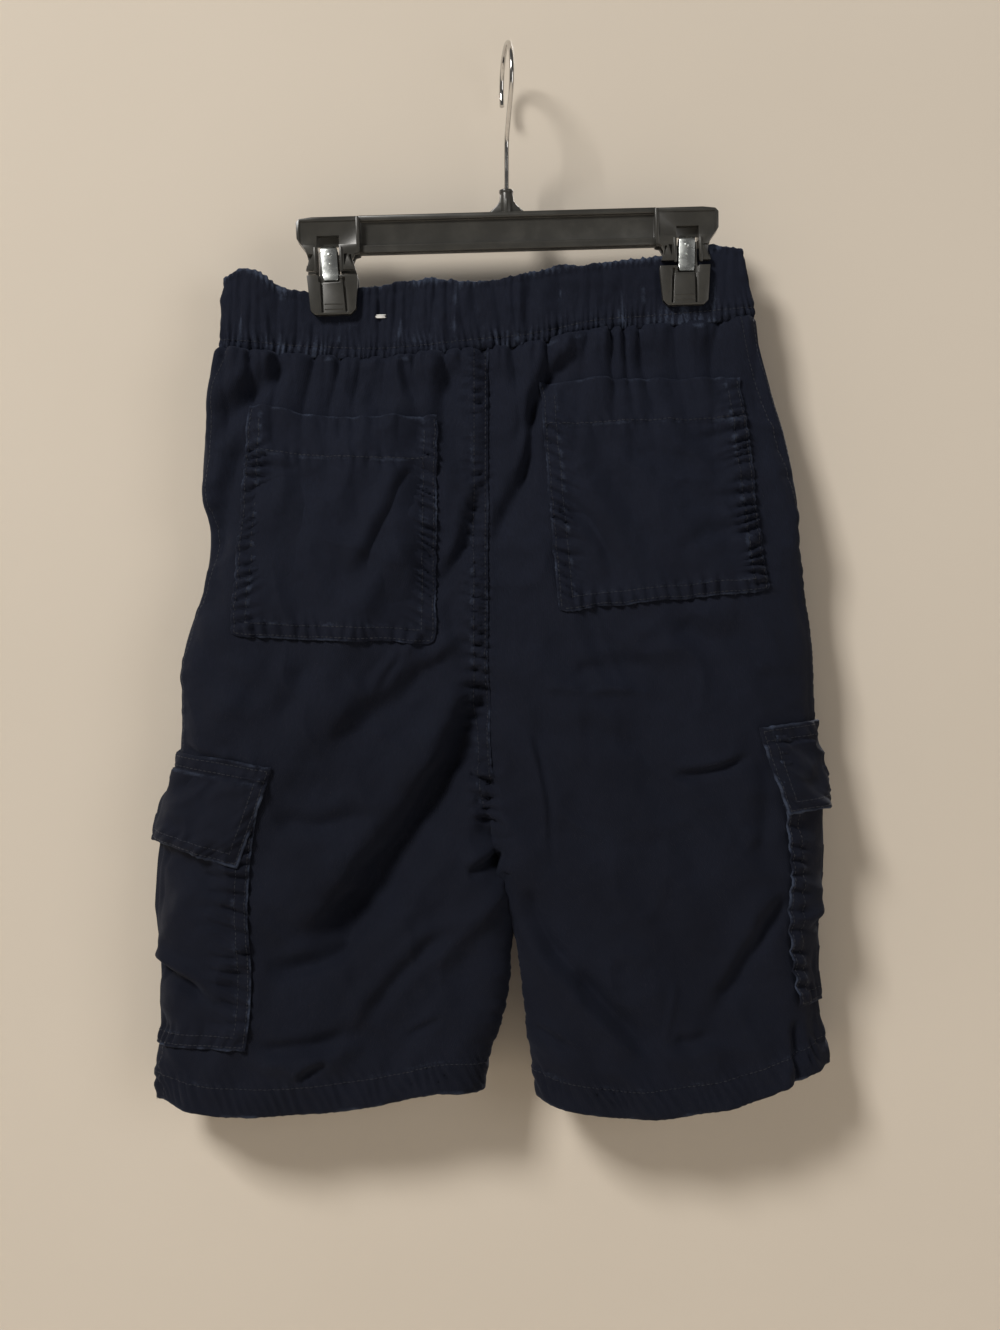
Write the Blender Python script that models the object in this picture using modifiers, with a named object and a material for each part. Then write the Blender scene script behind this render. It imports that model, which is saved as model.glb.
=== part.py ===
"""Boys' pull-on cargo shorts hanging by the waistband from a plastic clip hanger.

The origin is the inside top of the hook's crown, where a rail would carry it. +Z is up, the shorts'
seat faces -Y, and +X is the wearer's right. The tables are in millimetres; the model is in metres.
"""

import math
from collections import namedtuple

import bmesh
import bpy
import numpy as np
from mathutils import Matrix, Vector

MM = 0.001

# Cloth
PANEL_CLOTH = 1.2
WAISTBAND_CLOTH = 2.4
POCKET_CLOTH = 1.2
SEAM_GAP = 0.3
LAYER_GAP = 1.0
PANEL_COLUMNS, PANEL_ROWS = 14, 17
TURN_IN = 0.006
WAIST_COLUMNS, WAIST_ROWS = 28, 2
BACK_POCKET_COLUMNS, BACK_POCKET_ROWS = 10, 8
CARGO_COLUMNS, CARGO_ROWS = 14, 8
FLAP_COLUMNS, FLAP_ROWS = 14, 3

# Shape of the hanging cloth
EDGE_ROUNDING = 46.0
INSEAM_ROUNDING = 34.0
ROUNDING_POWER = 2.3
CROTCH_CURVE_TOP, CROTCH = -400.0, -465.0
WAIST_LEVEL, HEM_LEVEL = -165.0, -640.0
LARGEST_SEAM_STEP = 0.02

# Where the clips hold the waistband
CLIP_REACH = 109.0
CLIP_X = {"left": -107.3, "right": 110.7}
GRIP_HALF_DEPTH = 2.9
GRIP_HALF_WIDTH, GRIP_FADE = 25.0, 46.0
GRIP_BOTTOM, GRIP_END = -172.0, -250.0

# Pockets
BACK_POCKET_BULGE = 1.6
CARGO_BULGE, FULLNESS_SPREAD = 2.6, 1.6

# Hanger, drawn level and then tilted about the boss
TILT = math.radians(1.6)
BOSS_LEVEL = -95.0
BAR_HALF_LENGTH, BAR_TOP, BAR_BOTTOM = 90.0, -101.5, -124.5
BAR_DEPTH, WEB_DEPTH = 9.0, 3.4
TOP_FLANGE, BOTTOM_FLANGE = 3.6, 4.8
BOSS_DEPTH = 8.0
CAP_DEPTH = 16.0
JAW_FACE, TONGUE_DEPTH, JAW_DEPTH = 3.3, 2.2, 5.2
SLOT_TOP = -121.5
WINDOW_HALF_WIDTH, WINDOW_TOP, WINDOW_BOTTOM = 7.0, -114.0, -150.0
SPRING_THICKNESS, SPRING_HALF_WIDTH, SPRING_LEAF = 0.8, 5.0, 6.5
SPRING_TOP, SPRING_BOTTOM, SPRING_CORNER = -119.5, -141.0, 3.0
CORNER_STEPS, LIP_LENGTH, LIP_TURN_OUT = 4, 3.5, 0.5
LEAF_ROOM = 1.2

# Hook
WIRE_RADIUS = 1.5
HOOK_RADIUS = 22.5
HOOK_BEND_RADIUS = 15.0
HOOK_BEND_START = -62.0
HOOK_FOOT = -97.0
HOOK_TIP_ANGLE = math.radians(-24)
HOOK_SWIVEL = math.radians(7.7)
BORE_RADIUS, BORE_BOTTOM = 1.9, -98.5

# The garment's outline at each height, seat side towards the viewer. Edges are the side silhouettes,
# seams the centre seam and then each inseam, depths the cloth's reach from the middle plane, and wrap
# how far round the right leg's side seam has turned to the front.
Level = namedtuple(
    "Level", "z left_edge left_seam right_seam right_edge back_depth front_depth wrap"
)
LEVELS = (
    Level(-116, -171.0, -12.0, -12.0, 142.0, 6.5, 6.5, 0),
    Level(-141, -172.5, -12.0, -12.0, 147.0, 7.5, 7.5, 0),
    Level(-166, -174.0, -13.0, -13.0, 151.0, 8.5, 8.0, 0),
    Level(-188, -175.5, -14.0, -14.0, 155.0, 9.5, 9.0, 0),
    Level(-208, -180.5, -14.0, -14.0, 160.5, 11.0, 10.5, 0),
    Level(-238, -183.5, -14.0, -14.0, 169.5, 13.5, 13.0, 0),
    Level(-268, -185.0, -14.0, -14.0, 175.5, 16.0, 15.5, 0),
    Level(-298, -180.5, -14.0, -14.0, 178.0, 18.5, 17.5, 6),
    Level(-334, -185.0, -14.0, -14.0, 182.0, 20.5, 19.0, 18),
    Level(-366, -195.5, -14.0, -14.0, 186.5, 21.5, 20.0, 30),
    Level(-400, -197.5, -14.0, -14.0, 188.0, 22.0, 21.0, 42),
    Level(-432, -198.5, -12.5, -12.5, 188.5, 22.0, 21.0, 48),
    Level(-465, -203.0, -8.6, -7.4, 190.0, 22.0, 21.0, 52),
    Level(-498, -208.0, -3.8, -2.2, 190.0, 22.5, 21.5, 54),
    Level(-531, -209.5, 3.6, 6.4, 186.5, 23.0, 22.0, 55),
    Level(-560, -208.0, -1.0, 10.0, 188.5, 23.0, 22.0, 56),
    Level(-597, -210.0, -6.0, 14.5, 192.0, 23.5, 22.5, 55),
    Level(-622, -214.0, -11.5, 18.5, 196.0, 24.0, 23.0, 53),
    Level(-655, -213.0, -16.5, 23.0, 197.5, 24.0, 23.0, 52),
)

# Heights along the width: the waistband's top edge, its seam to the panels, and the hems.
Edge = namedtuple("Edge", "x z")
WAIST_TOP = (
    Edge(-172, -142), Edge(-165, -136.5), Edge(-153, -139), Edge(-142, -147), Edge(-126, -150.5),
    Edge(-100, -149), Edge(-49, -144.5), Edge(-10, -144), Edge(20, -138.5), Edge(71, -131.5),
    Edge(111, -127.5), Edge(139, -122), Edge(147, -124),
)  # fmt: skip
WAIST_SEAM = (
    Edge(-175, -186), Edge(-124, -190), Edge(-63, -191), Edge(-24, -187.5), Edge(14, -183.5),
    Edge(57, -174.5), Edge(99, -170.5), Edge(151, -166),
)  # fmt: skip
LEFT_HEM = (
    Edge(-213, -642), Edge(-199, -645.5), Edge(-157, -649), Edge(-123, -648), Edge(-71, -641),
    Edge(-40, -634), Edge(-15, -635),
)  # fmt: skip
RIGHT_HEM = (
    Edge(21, -638), Edge(34, -643), Edge(53, -647), Edge(80, -650), Edge(104, -648),
    Edge(139, -642), Edge(172, -631), Edge(197, -621),
)  # fmt: skip

# The largest folds: a soft trough through three points, its half width and how deep it is.
Fold = namedtuple("Fold", "face x0 z0 x1 z1 x2 z2 half_width depth")
FOLDS = (
    Fold("back", -16, -400, -58, -500, -132, -556, 15, 4.5),
    Fold("back", -150, -200, -168, -240, -178, -330, 14, 3.0),
    Fold("back", 44, -195, 12, -244, -6, -306, 18, 2.2),
    Fold("back", -24, -372, -62, -412, -112, -452, 16, 2.5),
    Fold("back", 24, -532, 52, -572, 82, -604, 16, 2.5),
    Fold("front", -20, -380, -70, -470, -150, -540, 18, 3.5),
    Fold("front", 0, -390, 50, -470, 110, -560, 18, 3.5),
    Fold("front", -120, -200, -96, -280, -60, -340, 16, 2.5),
)

# Back pockets by their corners, looking at the seat.
Patch = namedtuple("Patch", "side top_outer top_inner low_outer low_inner")
BACK_POCKETS = (
    Patch("left", (-156, -221), (-42, -230), (-165, -359), (-43, -365)),
    Patch("right", (140, -203), (21, -207), (160, -331), (32, -346)),
)

# Cargo pockets and their flaps wrap the side: reach is measured from the outer edge, over the seat
# side and over the front.
Wrap = namedtuple(
    "Wrap", "top_back_reach low_back_reach top_front_reach low_front_reach top low_outer low_inner"
)
CARGO_POCKETS = {
    "left": Wrap(53, 55, 46, 46, -446, -608, -609),
    "right": Wrap(27, 14, 82, 90, -420, -582, -584),
}
CARGO_FLAPS = {
    "left": Wrap(57, 46, 48, 46, -442, -485, -498),
    "right": Wrap(36, 23, 84, 78, -415, -464, -467),
}

# Flat outlines of the hanger's plastic, from the clip's own middle and with outboard as -X.
CAP_OUTLINE = (
    (-19.5, -104.5), (-15.0, -102.6), (18.6, -102.6), (18.6, -124.5), (15.6, -126.0),
    (14.0, -129.0), (15.6, -135.0), (-13.8, -135.0), (-12.4, -129.0), (-14.0, -123.0),
    (-19.5, -116.5),
)  # fmt: skip
PAD_OUTLINE = (
    (-13.8, -136.0), (16.8, -136.0), (15.8, -159.5), (12.5, -162.4), (-9.0, -162.4), (-12.0, -159.5),
)  # fmt: skip
TONGUE_OUTLINE = ((-6.2, -123.5), (6.2, -123.5), (6.2, -160.0), (-6.2, -160.0))
BOSS_OUTLINE = (
    (-4.2, -87.5), (4.2, -87.5), (4.2, -94.0), (10.8, -101.6), (10.8, -104.0), (-10.8, -104.0),
    (-10.8, -101.6), (-4.2, -94.0),
)  # fmt: skip


def clear_scene():
    for thing in list(bpy.data.objects):
        bpy.data.objects.remove(thing, do_unlink=True)


def new_collection(name):
    collection = bpy.data.collections.new(name)
    bpy.context.scene.collection.children.link(collection)
    return collection


def material(name, colour, roughness, metallic=0.0):
    made = bpy.data.materials.new(name)
    made.use_nodes = True
    shader = made.node_tree.nodes["Principled BSDF"]
    shader.inputs["Base Color"].default_value = (*colour, 1.0)
    shader.inputs["Roughness"].default_value = roughness
    shader.inputs["Metallic"].default_value = metallic
    return made


# ---------------------------------------------------------------- tables and the garment's form


def between(low, high, part):
    return low + (high - low) * part


def read_table(rows, key, column, place):
    """One column of a table on a smooth curve through its rows, level past the ends."""
    rows = sorted(rows, key=lambda row: getattr(row, key))
    places = np.array([getattr(row, key) for row in rows], float)
    values = np.array([getattr(row, column) for row in rows], float)
    slopes = np.gradient(values, places)
    place = min(max(place, places[0]), places[-1])
    i = min(int(np.searchsorted(places, place, side="right")) - 1, len(rows) - 2)
    span = places[i + 1] - places[i]
    part = (place - places[i]) / span
    rise = (1 + 2 * part) * (1 - part) ** 2 * values[i] + part**2 * (3 - 2 * part) * values[i + 1]
    lean = part * (1 - part) ** 2 * slopes[i] - part**2 * (1 - part) * slopes[i + 1]
    return float(rise + lean * span)


def at_height(column, z):
    return read_table(LEVELS, "z", column, z)


def smooth(part):
    part = min(max(part, 0.0), 1.0)
    return part * part * (3 - 2 * part)


def rounding(distance, reach):
    """1 well inside the cloth, falling to 0 at a folded edge as a round turn does."""
    part = min(max(distance / reach, 0.0), 1.0)
    return math.sqrt(1 - (1 - part) ** ROUNDING_POWER)


def leg_closure(z):
    """0 above the crotch curve, where the seat is one width, and 1 where each leg is a tube."""
    part = (CROTCH_CURVE_TOP - z) / (CROTCH_CURVE_TOP - CROTCH)
    if part <= 0:
        return 0.0
    return 1.0 if part >= 1 else 1 - math.sqrt(1 - part * part)


def held_by_clip(x, z):
    """1 where a clip presses the two layers together, 0 away from it."""
    near = max(
        smooth((GRIP_HALF_WIDTH + GRIP_FADE - abs(x - clip)) / GRIP_FADE) for clip in CLIP_X.values()
    )
    return near * smooth((z - GRIP_END) / (GRIP_BOTTOM - GRIP_END))


def from_segment(x, z, start, end):
    run = (end[0] - start[0], end[1] - start[1])
    along = ((x - start[0]) * run[0] + (z - start[1]) * run[1]) / (run[0] ** 2 + run[1] ** 2)
    along = min(max(along, 0.0), 1.0)
    return math.hypot(x - start[0] - along * run[0], z - start[1] - along * run[1])


def fold_depth(face, x, z):
    sunk = 0.0
    for fold in FOLDS:
        if fold.face != face:
            continue
        start, middle, end = (fold.x0, fold.z0), (fold.x1, fold.z1), (fold.x2, fold.z2)
        distance = min(from_segment(x, z, start, middle), from_segment(x, z, middle, end))
        sunk = max(sunk, fold.depth * math.exp(-((distance / fold.half_width) ** 2)))
    return sunk


def form(side, angle, z):
    """A point of the garment's outer surface.

    The angle goes round one side of the garment: 0 is its outer edge, pi the centre seam or inseam
    by way of the seat, and -pi the same seam by way of the front.
    """
    inwards = 1 if side == "left" else -1
    edge = at_height(side + "_edge", z)
    seam = at_height(side + "_seam", z) - inwards * SEAM_GAP / 2
    across = abs(seam - edge) * (1 - math.cos(angle)) / 2
    x = edge + inwards * across
    face = "back" if math.sin(angle) >= 0 else "front"
    turn = rounding(across, EDGE_ROUNDING)
    inseam = rounding(abs(seam - edge) - across, INSEAM_ROUNDING)
    shape = turn * between(1.0, inseam, leg_closure(z))
    depth = (at_height(face + "_depth", z) - fold_depth(face, x, z)) * shape
    depth = between(depth, GRIP_HALF_DEPTH, held_by_clip(x, z))
    return Vector((x, -depth if face == "back" else depth, z))


def outward(side, angle, z):
    """The form's outward normal."""
    step = 0.02
    round_it = form(side, angle + step, z) - form(side, angle - step, z)
    down_it = form(side, angle, z - 2.0) - form(side, angle, z + 2.0)
    normal = round_it.cross(down_it).normalized()
    return -normal if side == "left" else normal


def moved_out(side, angle, z, distance):
    return form(side, angle, z) + outward(side, angle, z) * distance


def seam_step(side, angle, z):
    """The small turn that leaves half a seam's gap beside an angle."""
    pace = (form(side, angle + 0.01, z) - form(side, angle - 0.01, z)).length / 0.02
    return min(SEAM_GAP / 2 / pace, LARGEST_SEAM_STEP)


def angle_at(side, x, z):
    """The seat side's angle at a distance across."""
    edge, seam = at_height(side + "_edge", z), at_height(side + "_seam", z)
    part = min(max((x - edge) / (seam - edge), 0.0), 1.0)
    return math.acos(1 - 2 * part)


def wrap_angle(side, reach, z):
    """The angle a reach away from the outer edge, negative over the front."""
    width = abs(at_height(side + "_seam", z) - at_height(side + "_edge", z))
    return math.copysign(math.acos(1 - 2 * abs(reach) / width), reach)


def waist_top(side, angle):
    return read_table(WAIST_TOP, "x", "z", form(side, angle, WAIST_LEVEL).x)


def waist_seam(side, angle):
    return read_table(WAIST_SEAM, "x", "z", form(side, angle, WAIST_LEVEL).x)


def hem(side, angle):
    rows = LEFT_HEM if side == "left" else RIGHT_HEM
    return read_table(rows, "x", "z", form(side, angle, HEM_LEVEL).x)


# ---------------------------------------------------------------- cloth


def sheet(name, rows, thickness, look, home, closed=False, inward=False):
    """A grid of points as one surface, given its cloth by Solidify."""
    mesh = bmesh.new()
    grid = [[mesh.verts.new(point * MM) for point in row] for row in rows]
    columns = len(grid[0])
    for upper, lower in zip(grid, grid[1:]):
        for j in range(columns if closed else columns - 1):
            k = (j + 1) % columns
            mesh.faces.new((upper[j], lower[j], lower[k], upper[k]))
    data = bpy.data.meshes.new(name)
    mesh.to_mesh(data)
    mesh.free()
    data.shade_smooth()
    data.materials.append(look)
    made = bpy.data.objects.new(name, data)
    home.objects.link(made)
    cloth = made.modifiers.new("cloth", "SOLIDIFY")
    cloth.thickness = thickness * MM
    cloth.offset = -1.0 if inward else 1.0
    return made


def outwards_first(side, rows):
    """The grid's columns in the order that turns its faces outwards."""
    return rows if side == "left" else [row[::-1] for row in rows]


def make_waistband(look, home):
    """The elastic casing: one gathered tube with the clips' grip in it."""
    half = [math.pi * j / WAIST_COLUMNS for j in range(WAIST_COLUMNS + 1)]
    seat = [("left", angle) for angle in half] + [("right", angle) for angle in half[-2::-1]]
    front = [("right", -angle) for angle in half[1:]] + [("left", -angle) for angle in half[-2:0:-1]]
    rows = []
    for i in range(WAIST_ROWS + 1):
        row = []
        for side, angle in seat + front:
            low = waist_seam(side, angle) + SEAM_GAP
            point = form(side, angle, between(waist_top(side, angle), low, i / WAIST_ROWS))
            if abs(angle) == math.pi:
                point.x = at_height("left_seam", point.z)
            row.append(point)
        rows.append(row)
    return sheet("waistband", rows, WAISTBAND_CLOTH, look, home, closed=True, inward=True)


def make_panel(side, face, look, home):
    """A seat or front panel, from the waist seam to the hem and from the side seam to the middle."""
    towards = 1 if face == "back" else -1
    inner_stations = [j / PANEL_COLUMNS for j in range(1, PANEL_COLUMNS)]
    stations = [0.0, TURN_IN, *inner_stations, 1 - TURN_IN, 1.0]
    rows = []
    for i in range(PANEL_ROWS + 1):
        row = []
        for across in stations:
            rough = towards * math.pi * across
            top, low = waist_seam(side, rough) - SEAM_GAP, hem(side, rough)
            z = between(top, low, i / PANEL_ROWS)
            turned = math.radians(at_height("wrap", z)) if side == "right" else 0.0
            start = -turned + towards * seam_step(side, -turned, z)
            end = towards * (math.pi - seam_step(side, math.pi, z))
            row.append(form(side, between(start, end, across), z))
        rows.append(row)
    rows = outwards_first(side, rows)
    if face == "front":
        rows = [row[::-1] for row in rows]
    return sheet(f"{face}_{side}", rows, PANEL_CLOTH, look, home, inward=True)


def make_back_pocket(patch, look, home):
    """A patch pocket on the seat, a little full in the middle and nearly touching at its edges."""
    rows = []
    for i in range(BACK_POCKET_ROWS + 1):
        down = i / BACK_POCKET_ROWS
        row = []
        for j in range(BACK_POCKET_COLUMNS + 1):
            over = j / BACK_POCKET_COLUMNS
            upper = Vector(patch.top_outer).lerp(Vector(patch.top_inner), over)
            lower = Vector(patch.low_outer).lerp(Vector(patch.low_inner), over)
            x, z = upper.lerp(lower, down)
            full = BACK_POCKET_BULGE * math.sin(math.pi * over) * math.sin(math.pi * down)
            row.append(moved_out(patch.side, angle_at(patch.side, x, z), z, LAYER_GAP + full))
        rows.append(row)
    rows = outwards_first(patch.side, rows)
    return sheet(f"back_pocket_{patch.side}", rows, POCKET_CLOTH, look, home)


def cargo_rise(side, reach, z):
    """How far the cargo pocket's inner face stands off the panels."""
    pocket = CARGO_POCKETS[side]
    down = min(max((pocket.top - z) / (pocket.top - pocket.low_outer), 0.0), 1.0)
    front = between(pocket.top_front_reach, pocket.low_front_reach, down)
    back = between(pocket.top_back_reach, pocket.low_back_reach, down)
    over = min(max((reach + front) / (front + back), 0.0), 1.0)
    full = math.sin(math.pi * over) * smooth(FULLNESS_SPREAD * math.sin(math.pi * down))
    return LAYER_GAP + CARGO_BULGE * full


def wrapped_rows(side, shape, columns, count, rise):
    """Rows of points over the outer edge, from the seat side to the front, at even turns."""
    rows = []
    for i in range(count + 1):
        down = i / count
        back = between(shape.top_back_reach, shape.low_back_reach, down)
        front = between(shape.top_front_reach, shape.low_front_reach, down)
        level = between(shape.top, shape.low_outer, down)
        start, end = wrap_angle(side, back, level), wrap_angle(side, -front, level)
        width = abs(at_height(side + "_seam", level) - at_height(side + "_edge", level))
        row = []
        for j in range(columns + 1):
            angle = between(start, end, j / columns)
            reach = math.copysign(width * (1 - math.cos(angle)) / 2, angle)
            slant = abs(reach) / (back if reach > 0 else front)
            z = between(shape.top, between(shape.low_outer, shape.low_inner, slant), down)
            row.append(moved_out(side, angle, z, rise(reach, z)))
        rows.append(row)
    if side == "left":
        rows = [row[::-1] for row in rows]
    return rows


def make_cargo_pocket(side, look, home):
    rows = wrapped_rows(
        side, CARGO_POCKETS[side], CARGO_COLUMNS, CARGO_ROWS, lambda reach, z: cargo_rise(side, reach, z)
    )
    return sheet(f"cargo_pocket_{side}", rows, POCKET_CLOTH, look, home)


def make_cargo_flap(side, look, home):
    """The flap lies over the top of the pocket and reaches a little past its edges."""
    over_pocket = POCKET_CLOTH + LAYER_GAP
    rows = wrapped_rows(
        side,
        CARGO_FLAPS[side],
        FLAP_COLUMNS,
        FLAP_ROWS,
        lambda reach, z: cargo_rise(side, reach, z) + over_pocket,
    )
    return sheet(f"cargo_flap_{side}", rows, POCKET_CLOTH, look, home)


# ---------------------------------------------------------------- hanger


def plate(name, outline, y0, y1, home):
    """A flat outline in X and Z, given its depth between two Y planes."""
    curve = bpy.data.curves.new(name, "CURVE")
    curve.dimensions = "2D"
    curve.fill_mode = "BOTH"
    curve.extrude = abs(y1 - y0) / 2 * MM
    spline = curve.splines.new("POLY")
    spline.points.add(len(outline) - 1)
    for point, (x, z) in zip(spline.points, outline):
        point.co = (x * MM, z * MM, 0.0, 1.0)
    spline.use_cyclic_u = True
    drawn = bpy.data.objects.new(name + "_outline", curve)
    home.objects.link(drawn)
    stood_up = Matrix.Translation((0, (y0 + y1) / 2 * MM, 0)) @ Matrix.Rotation(math.pi / 2, 4, "X")
    made = mesh_copy(drawn, name, stood_up)
    home.objects.link(made)
    return made


def mesh_copy(drawn, name, place):
    """A curve made a welded mesh object; the curve goes."""
    graph = bpy.context.evaluated_depsgraph_get()
    data = bpy.data.meshes.new_from_object(drawn.evaluated_get(graph))
    data.name = name
    mesh = bmesh.new()
    mesh.from_mesh(data)
    bmesh.ops.remove_doubles(mesh, verts=mesh.verts, dist=1e-6)
    bmesh.ops.transform(mesh, matrix=place, verts=mesh.verts)
    bmesh.ops.recalc_face_normals(mesh, faces=mesh.faces)
    mesh.to_mesh(data)
    mesh.free()
    bpy.data.objects.remove(drawn, do_unlink=True)
    return bpy.data.objects.new(name, data)


def block(name, low, high, home):
    """A box between two corners, in millimetres."""
    mesh = bmesh.new()
    bmesh.ops.create_cube(mesh, size=1.0)
    size = Vector(high) - Vector(low)
    middle = (Vector(high) + Vector(low)) / 2
    bmesh.ops.scale(mesh, vec=size * MM, verts=mesh.verts)
    bmesh.ops.translate(mesh, vec=middle * MM, verts=mesh.verts)
    data = bpy.data.meshes.new(name)
    mesh.to_mesh(data)
    mesh.free()
    made = bpy.data.objects.new(name, data)
    home.objects.link(made)
    return made


def combine(target, other, operation):
    """A Boolean with a helper that stays out of the model."""
    other.hide_render = True
    other.display_type = "WIRE"
    step = target.modifiers.new(other.name, "BOOLEAN")
    step.object = other
    step.operation = operation
    step.solver = "EXACT"


def hang_on(parent, *things):
    """Parent things drawn in world coordinates to the empty that tilts them."""
    for thing in things:
        thing.parent = parent
        thing.matrix_parent_inverse = Matrix.Translation(-parent.location)


def make_tilt(home):
    tilt = bpy.data.objects.new("hanger_tilt", None)
    tilt.location = (0, 0, BOSS_LEVEL * MM)
    tilt.rotation_euler = (0, -TILT, 0)
    home.objects.link(tilt)
    return tilt


def make_bar(tilt, look, home, tools):
    """The I-section bar with the hook's boss moulded on top."""
    bar = block(
        "hanger_bar",
        (-BAR_HALF_LENGTH, -BAR_DEPTH / 2, BAR_BOTTOM),
        (BAR_HALF_LENGTH, BAR_DEPTH / 2, BAR_TOP),
        home,
    )
    bar.data.materials.append(look)
    helpers = []
    for face, facing in (("back", -1), ("front", 1)):
        near, far = sorted((facing * WEB_DEPTH / 2, facing * BAR_DEPTH))
        low, high = BAR_BOTTOM + BOTTOM_FLANGE, BAR_TOP - TOP_FLANGE
        recess = block(
            f"recess_{face}",
            (-BAR_HALF_LENGTH - 5, near, low),
            (BAR_HALF_LENGTH + 5, far, high),
            tools,
        )
        combine(bar, recess, "DIFFERENCE")
        helpers.append(recess)
    boss = plate("boss", BOSS_OUTLINE, -BOSS_DEPTH / 2, BOSS_DEPTH / 2, tools)
    combine(bar, boss, "UNION")
    bore_mesh = bmesh.new()
    depth = BOSS_OUTLINE[0][1] - BORE_BOTTOM + 2
    bmesh.ops.create_cone(
        bore_mesh,
        cap_ends=True,
        segments=20,
        radius1=BORE_RADIUS * MM,
        radius2=BORE_RADIUS * MM,
        depth=depth * MM,
    )
    bmesh.ops.translate(bore_mesh, vec=(0, 0, (BORE_BOTTOM + depth / 2) * MM), verts=bore_mesh.verts)
    bore_data = bpy.data.meshes.new("hook_bore")
    bore_mesh.to_mesh(bore_data)
    bore_mesh.free()
    bore = bpy.data.objects.new("hook_bore", bore_data)
    tools.objects.link(bore)
    combine(bar, bore, "DIFFERENCE")
    hang_on(tilt, bar, boss, bore, *helpers)
    return bar


def clip_outline(side, outline):
    """An outline drawn for the left clip, placed at either end of the bar."""
    if side == "left":
        return [(x - CLIP_REACH, z) for x, z in outline]
    return [(CLIP_REACH - x, z) for x, z in outline[::-1]]


def clip_middle(side):
    return -CLIP_REACH if side == "left" else CLIP_REACH


def make_cap(side, tilt, look, home, tools):
    """The bar's end cap: cheeks beside a window, with a slot between them for the cloth."""
    cap = plate(f"clip_cap_{side}", clip_outline(side, CAP_OUTLINE), -CAP_DEPTH / 2, CAP_DEPTH / 2, home)
    cap.data.materials.append(look)
    middle = clip_middle(side)
    window = block(
        f"window_{side}",
        (middle - WINDOW_HALF_WIDTH, -CAP_DEPTH, WINDOW_BOTTOM),
        (middle + WINDOW_HALF_WIDTH, CAP_DEPTH, WINDOW_TOP),
        tools,
    )
    slot = block(
        f"cloth_slot_{side}",
        (middle - 40, -JAW_FACE, WINDOW_BOTTOM),
        (middle + 40, JAW_FACE, SLOT_TOP),
        tools,
    )
    combine(cap, window, "DIFFERENCE")
    combine(cap, slot, "DIFFERENCE")
    hang_on(tilt, cap, window, slot)
    return cap


def make_jaw(side, face, tilt, look, home, tools):
    """A gripping pad with the tongue that stands up between the cheeks."""
    facing = -1 if face == "back" else 1
    name = f"clip_jaw_{face}_{side}"
    pad = plate(
        name, clip_outline(side, PAD_OUTLINE), facing * JAW_FACE, facing * (JAW_FACE + JAW_DEPTH), home
    )
    pad.data.materials.append(look)
    tongue = plate(
        f"tongue_{face}_{side}",
        clip_outline(side, TONGUE_OUTLINE),
        facing * JAW_FACE,
        facing * (JAW_FACE + TONGUE_DEPTH),
        tools,
    )
    combine(pad, tongue, "UNION")
    near, far = sorted((facing * (JAW_FACE + TONGUE_DEPTH), facing * CAP_DEPTH))
    half = SPRING_HALF_WIDTH + LEAF_ROOM
    middle = clip_middle(side)
    leaf_room = block(
        f"leaf_room_{face}_{side}",
        (middle - half, near, SPRING_BOTTOM - LEAF_ROOM),
        (middle + half, far, WINDOW_TOP),
        tools,
    )
    combine(pad, leaf_room, "DIFFERENCE")
    hang_on(tilt, pad, tongue, leaf_room)
    return pad


def make_spring(side, tilt, look, home):
    """A strip of spring steel bent over both tongues, its ends turned out a little."""
    straight = SPRING_LEAF - SPRING_CORNER
    top = SPRING_TOP - SPRING_CORNER
    path = [(-SPRING_LEAF - LIP_TURN_OUT, SPRING_BOTTOM), (-SPRING_LEAF, SPRING_BOTTOM + LIP_LENGTH)]
    for k in range(CORNER_STEPS + 1):
        turn = math.radians(90 * k / CORNER_STEPS)
        around = (math.cos(turn) * SPRING_CORNER, math.sin(turn) * SPRING_CORNER)
        path.append((-straight - around[0], top + around[1]))
    path += [(-y, z) for y, z in path[::-1]]
    middle = clip_middle(side)
    rows = [
        [Vector((x, y, z)) for y, z in path]
        for x in (middle - SPRING_HALF_WIDTH, middle + SPRING_HALF_WIDTH)
    ]
    spring = sheet(f"clip_spring_{side}", rows, SPRING_THICKNESS, look, home)
    hang_on(tilt, spring)
    return spring


def hook_path():
    """The hook's centreline in its own plane as (forward, up), from its foot to its tip."""
    bend = Vector((-HOOK_BEND_RADIUS, HOOK_BEND_START))
    crown = Vector((0.0, -(HOOK_RADIUS - WIRE_RADIUS)))
    apart = crown - bend
    lean = math.atan2(apart.y, apart.x)
    turn = lean - math.acos((HOOK_RADIUS + HOOK_BEND_RADIUS) / apart.length)
    path = [Vector((0.0, HOOK_FOOT)), Vector((0.0, (HOOK_FOOT + HOOK_BEND_START) / 2))]
    for k in range(5):
        angle = turn * k / 4
        path.append(bend + HOOK_BEND_RADIUS * Vector((math.cos(angle), math.sin(angle))))
    steps = 20
    for k in range(steps + 1):
        angle = between(math.pi + turn, HOOK_TIP_ANGLE, k / steps)
        path.append(crown + HOOK_RADIUS * Vector((math.cos(angle), math.sin(angle))))
    return path


def make_hook(look, home):
    """A round wire hook, seen almost edge-on from the seat side."""
    curve = bpy.data.curves.new("hanger_hook", "CURVE")
    curve.dimensions = "3D"
    curve.bevel_depth = WIRE_RADIUS * MM
    curve.bevel_resolution = 3
    curve.use_fill_caps = True
    path = hook_path()
    spline = curve.splines.new("POLY")
    spline.points.add(len(path) - 1)
    for point, (forward, up) in zip(spline.points, path):
        point.co = (0.0, forward * MM, up * MM, 1.0)
    curve.materials.append(look)
    hook = bpy.data.objects.new("hanger_hook", curve)
    hook.rotation_euler = (0, 0, HOOK_SWIVEL)
    home.objects.link(hook)
    return hook


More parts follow.
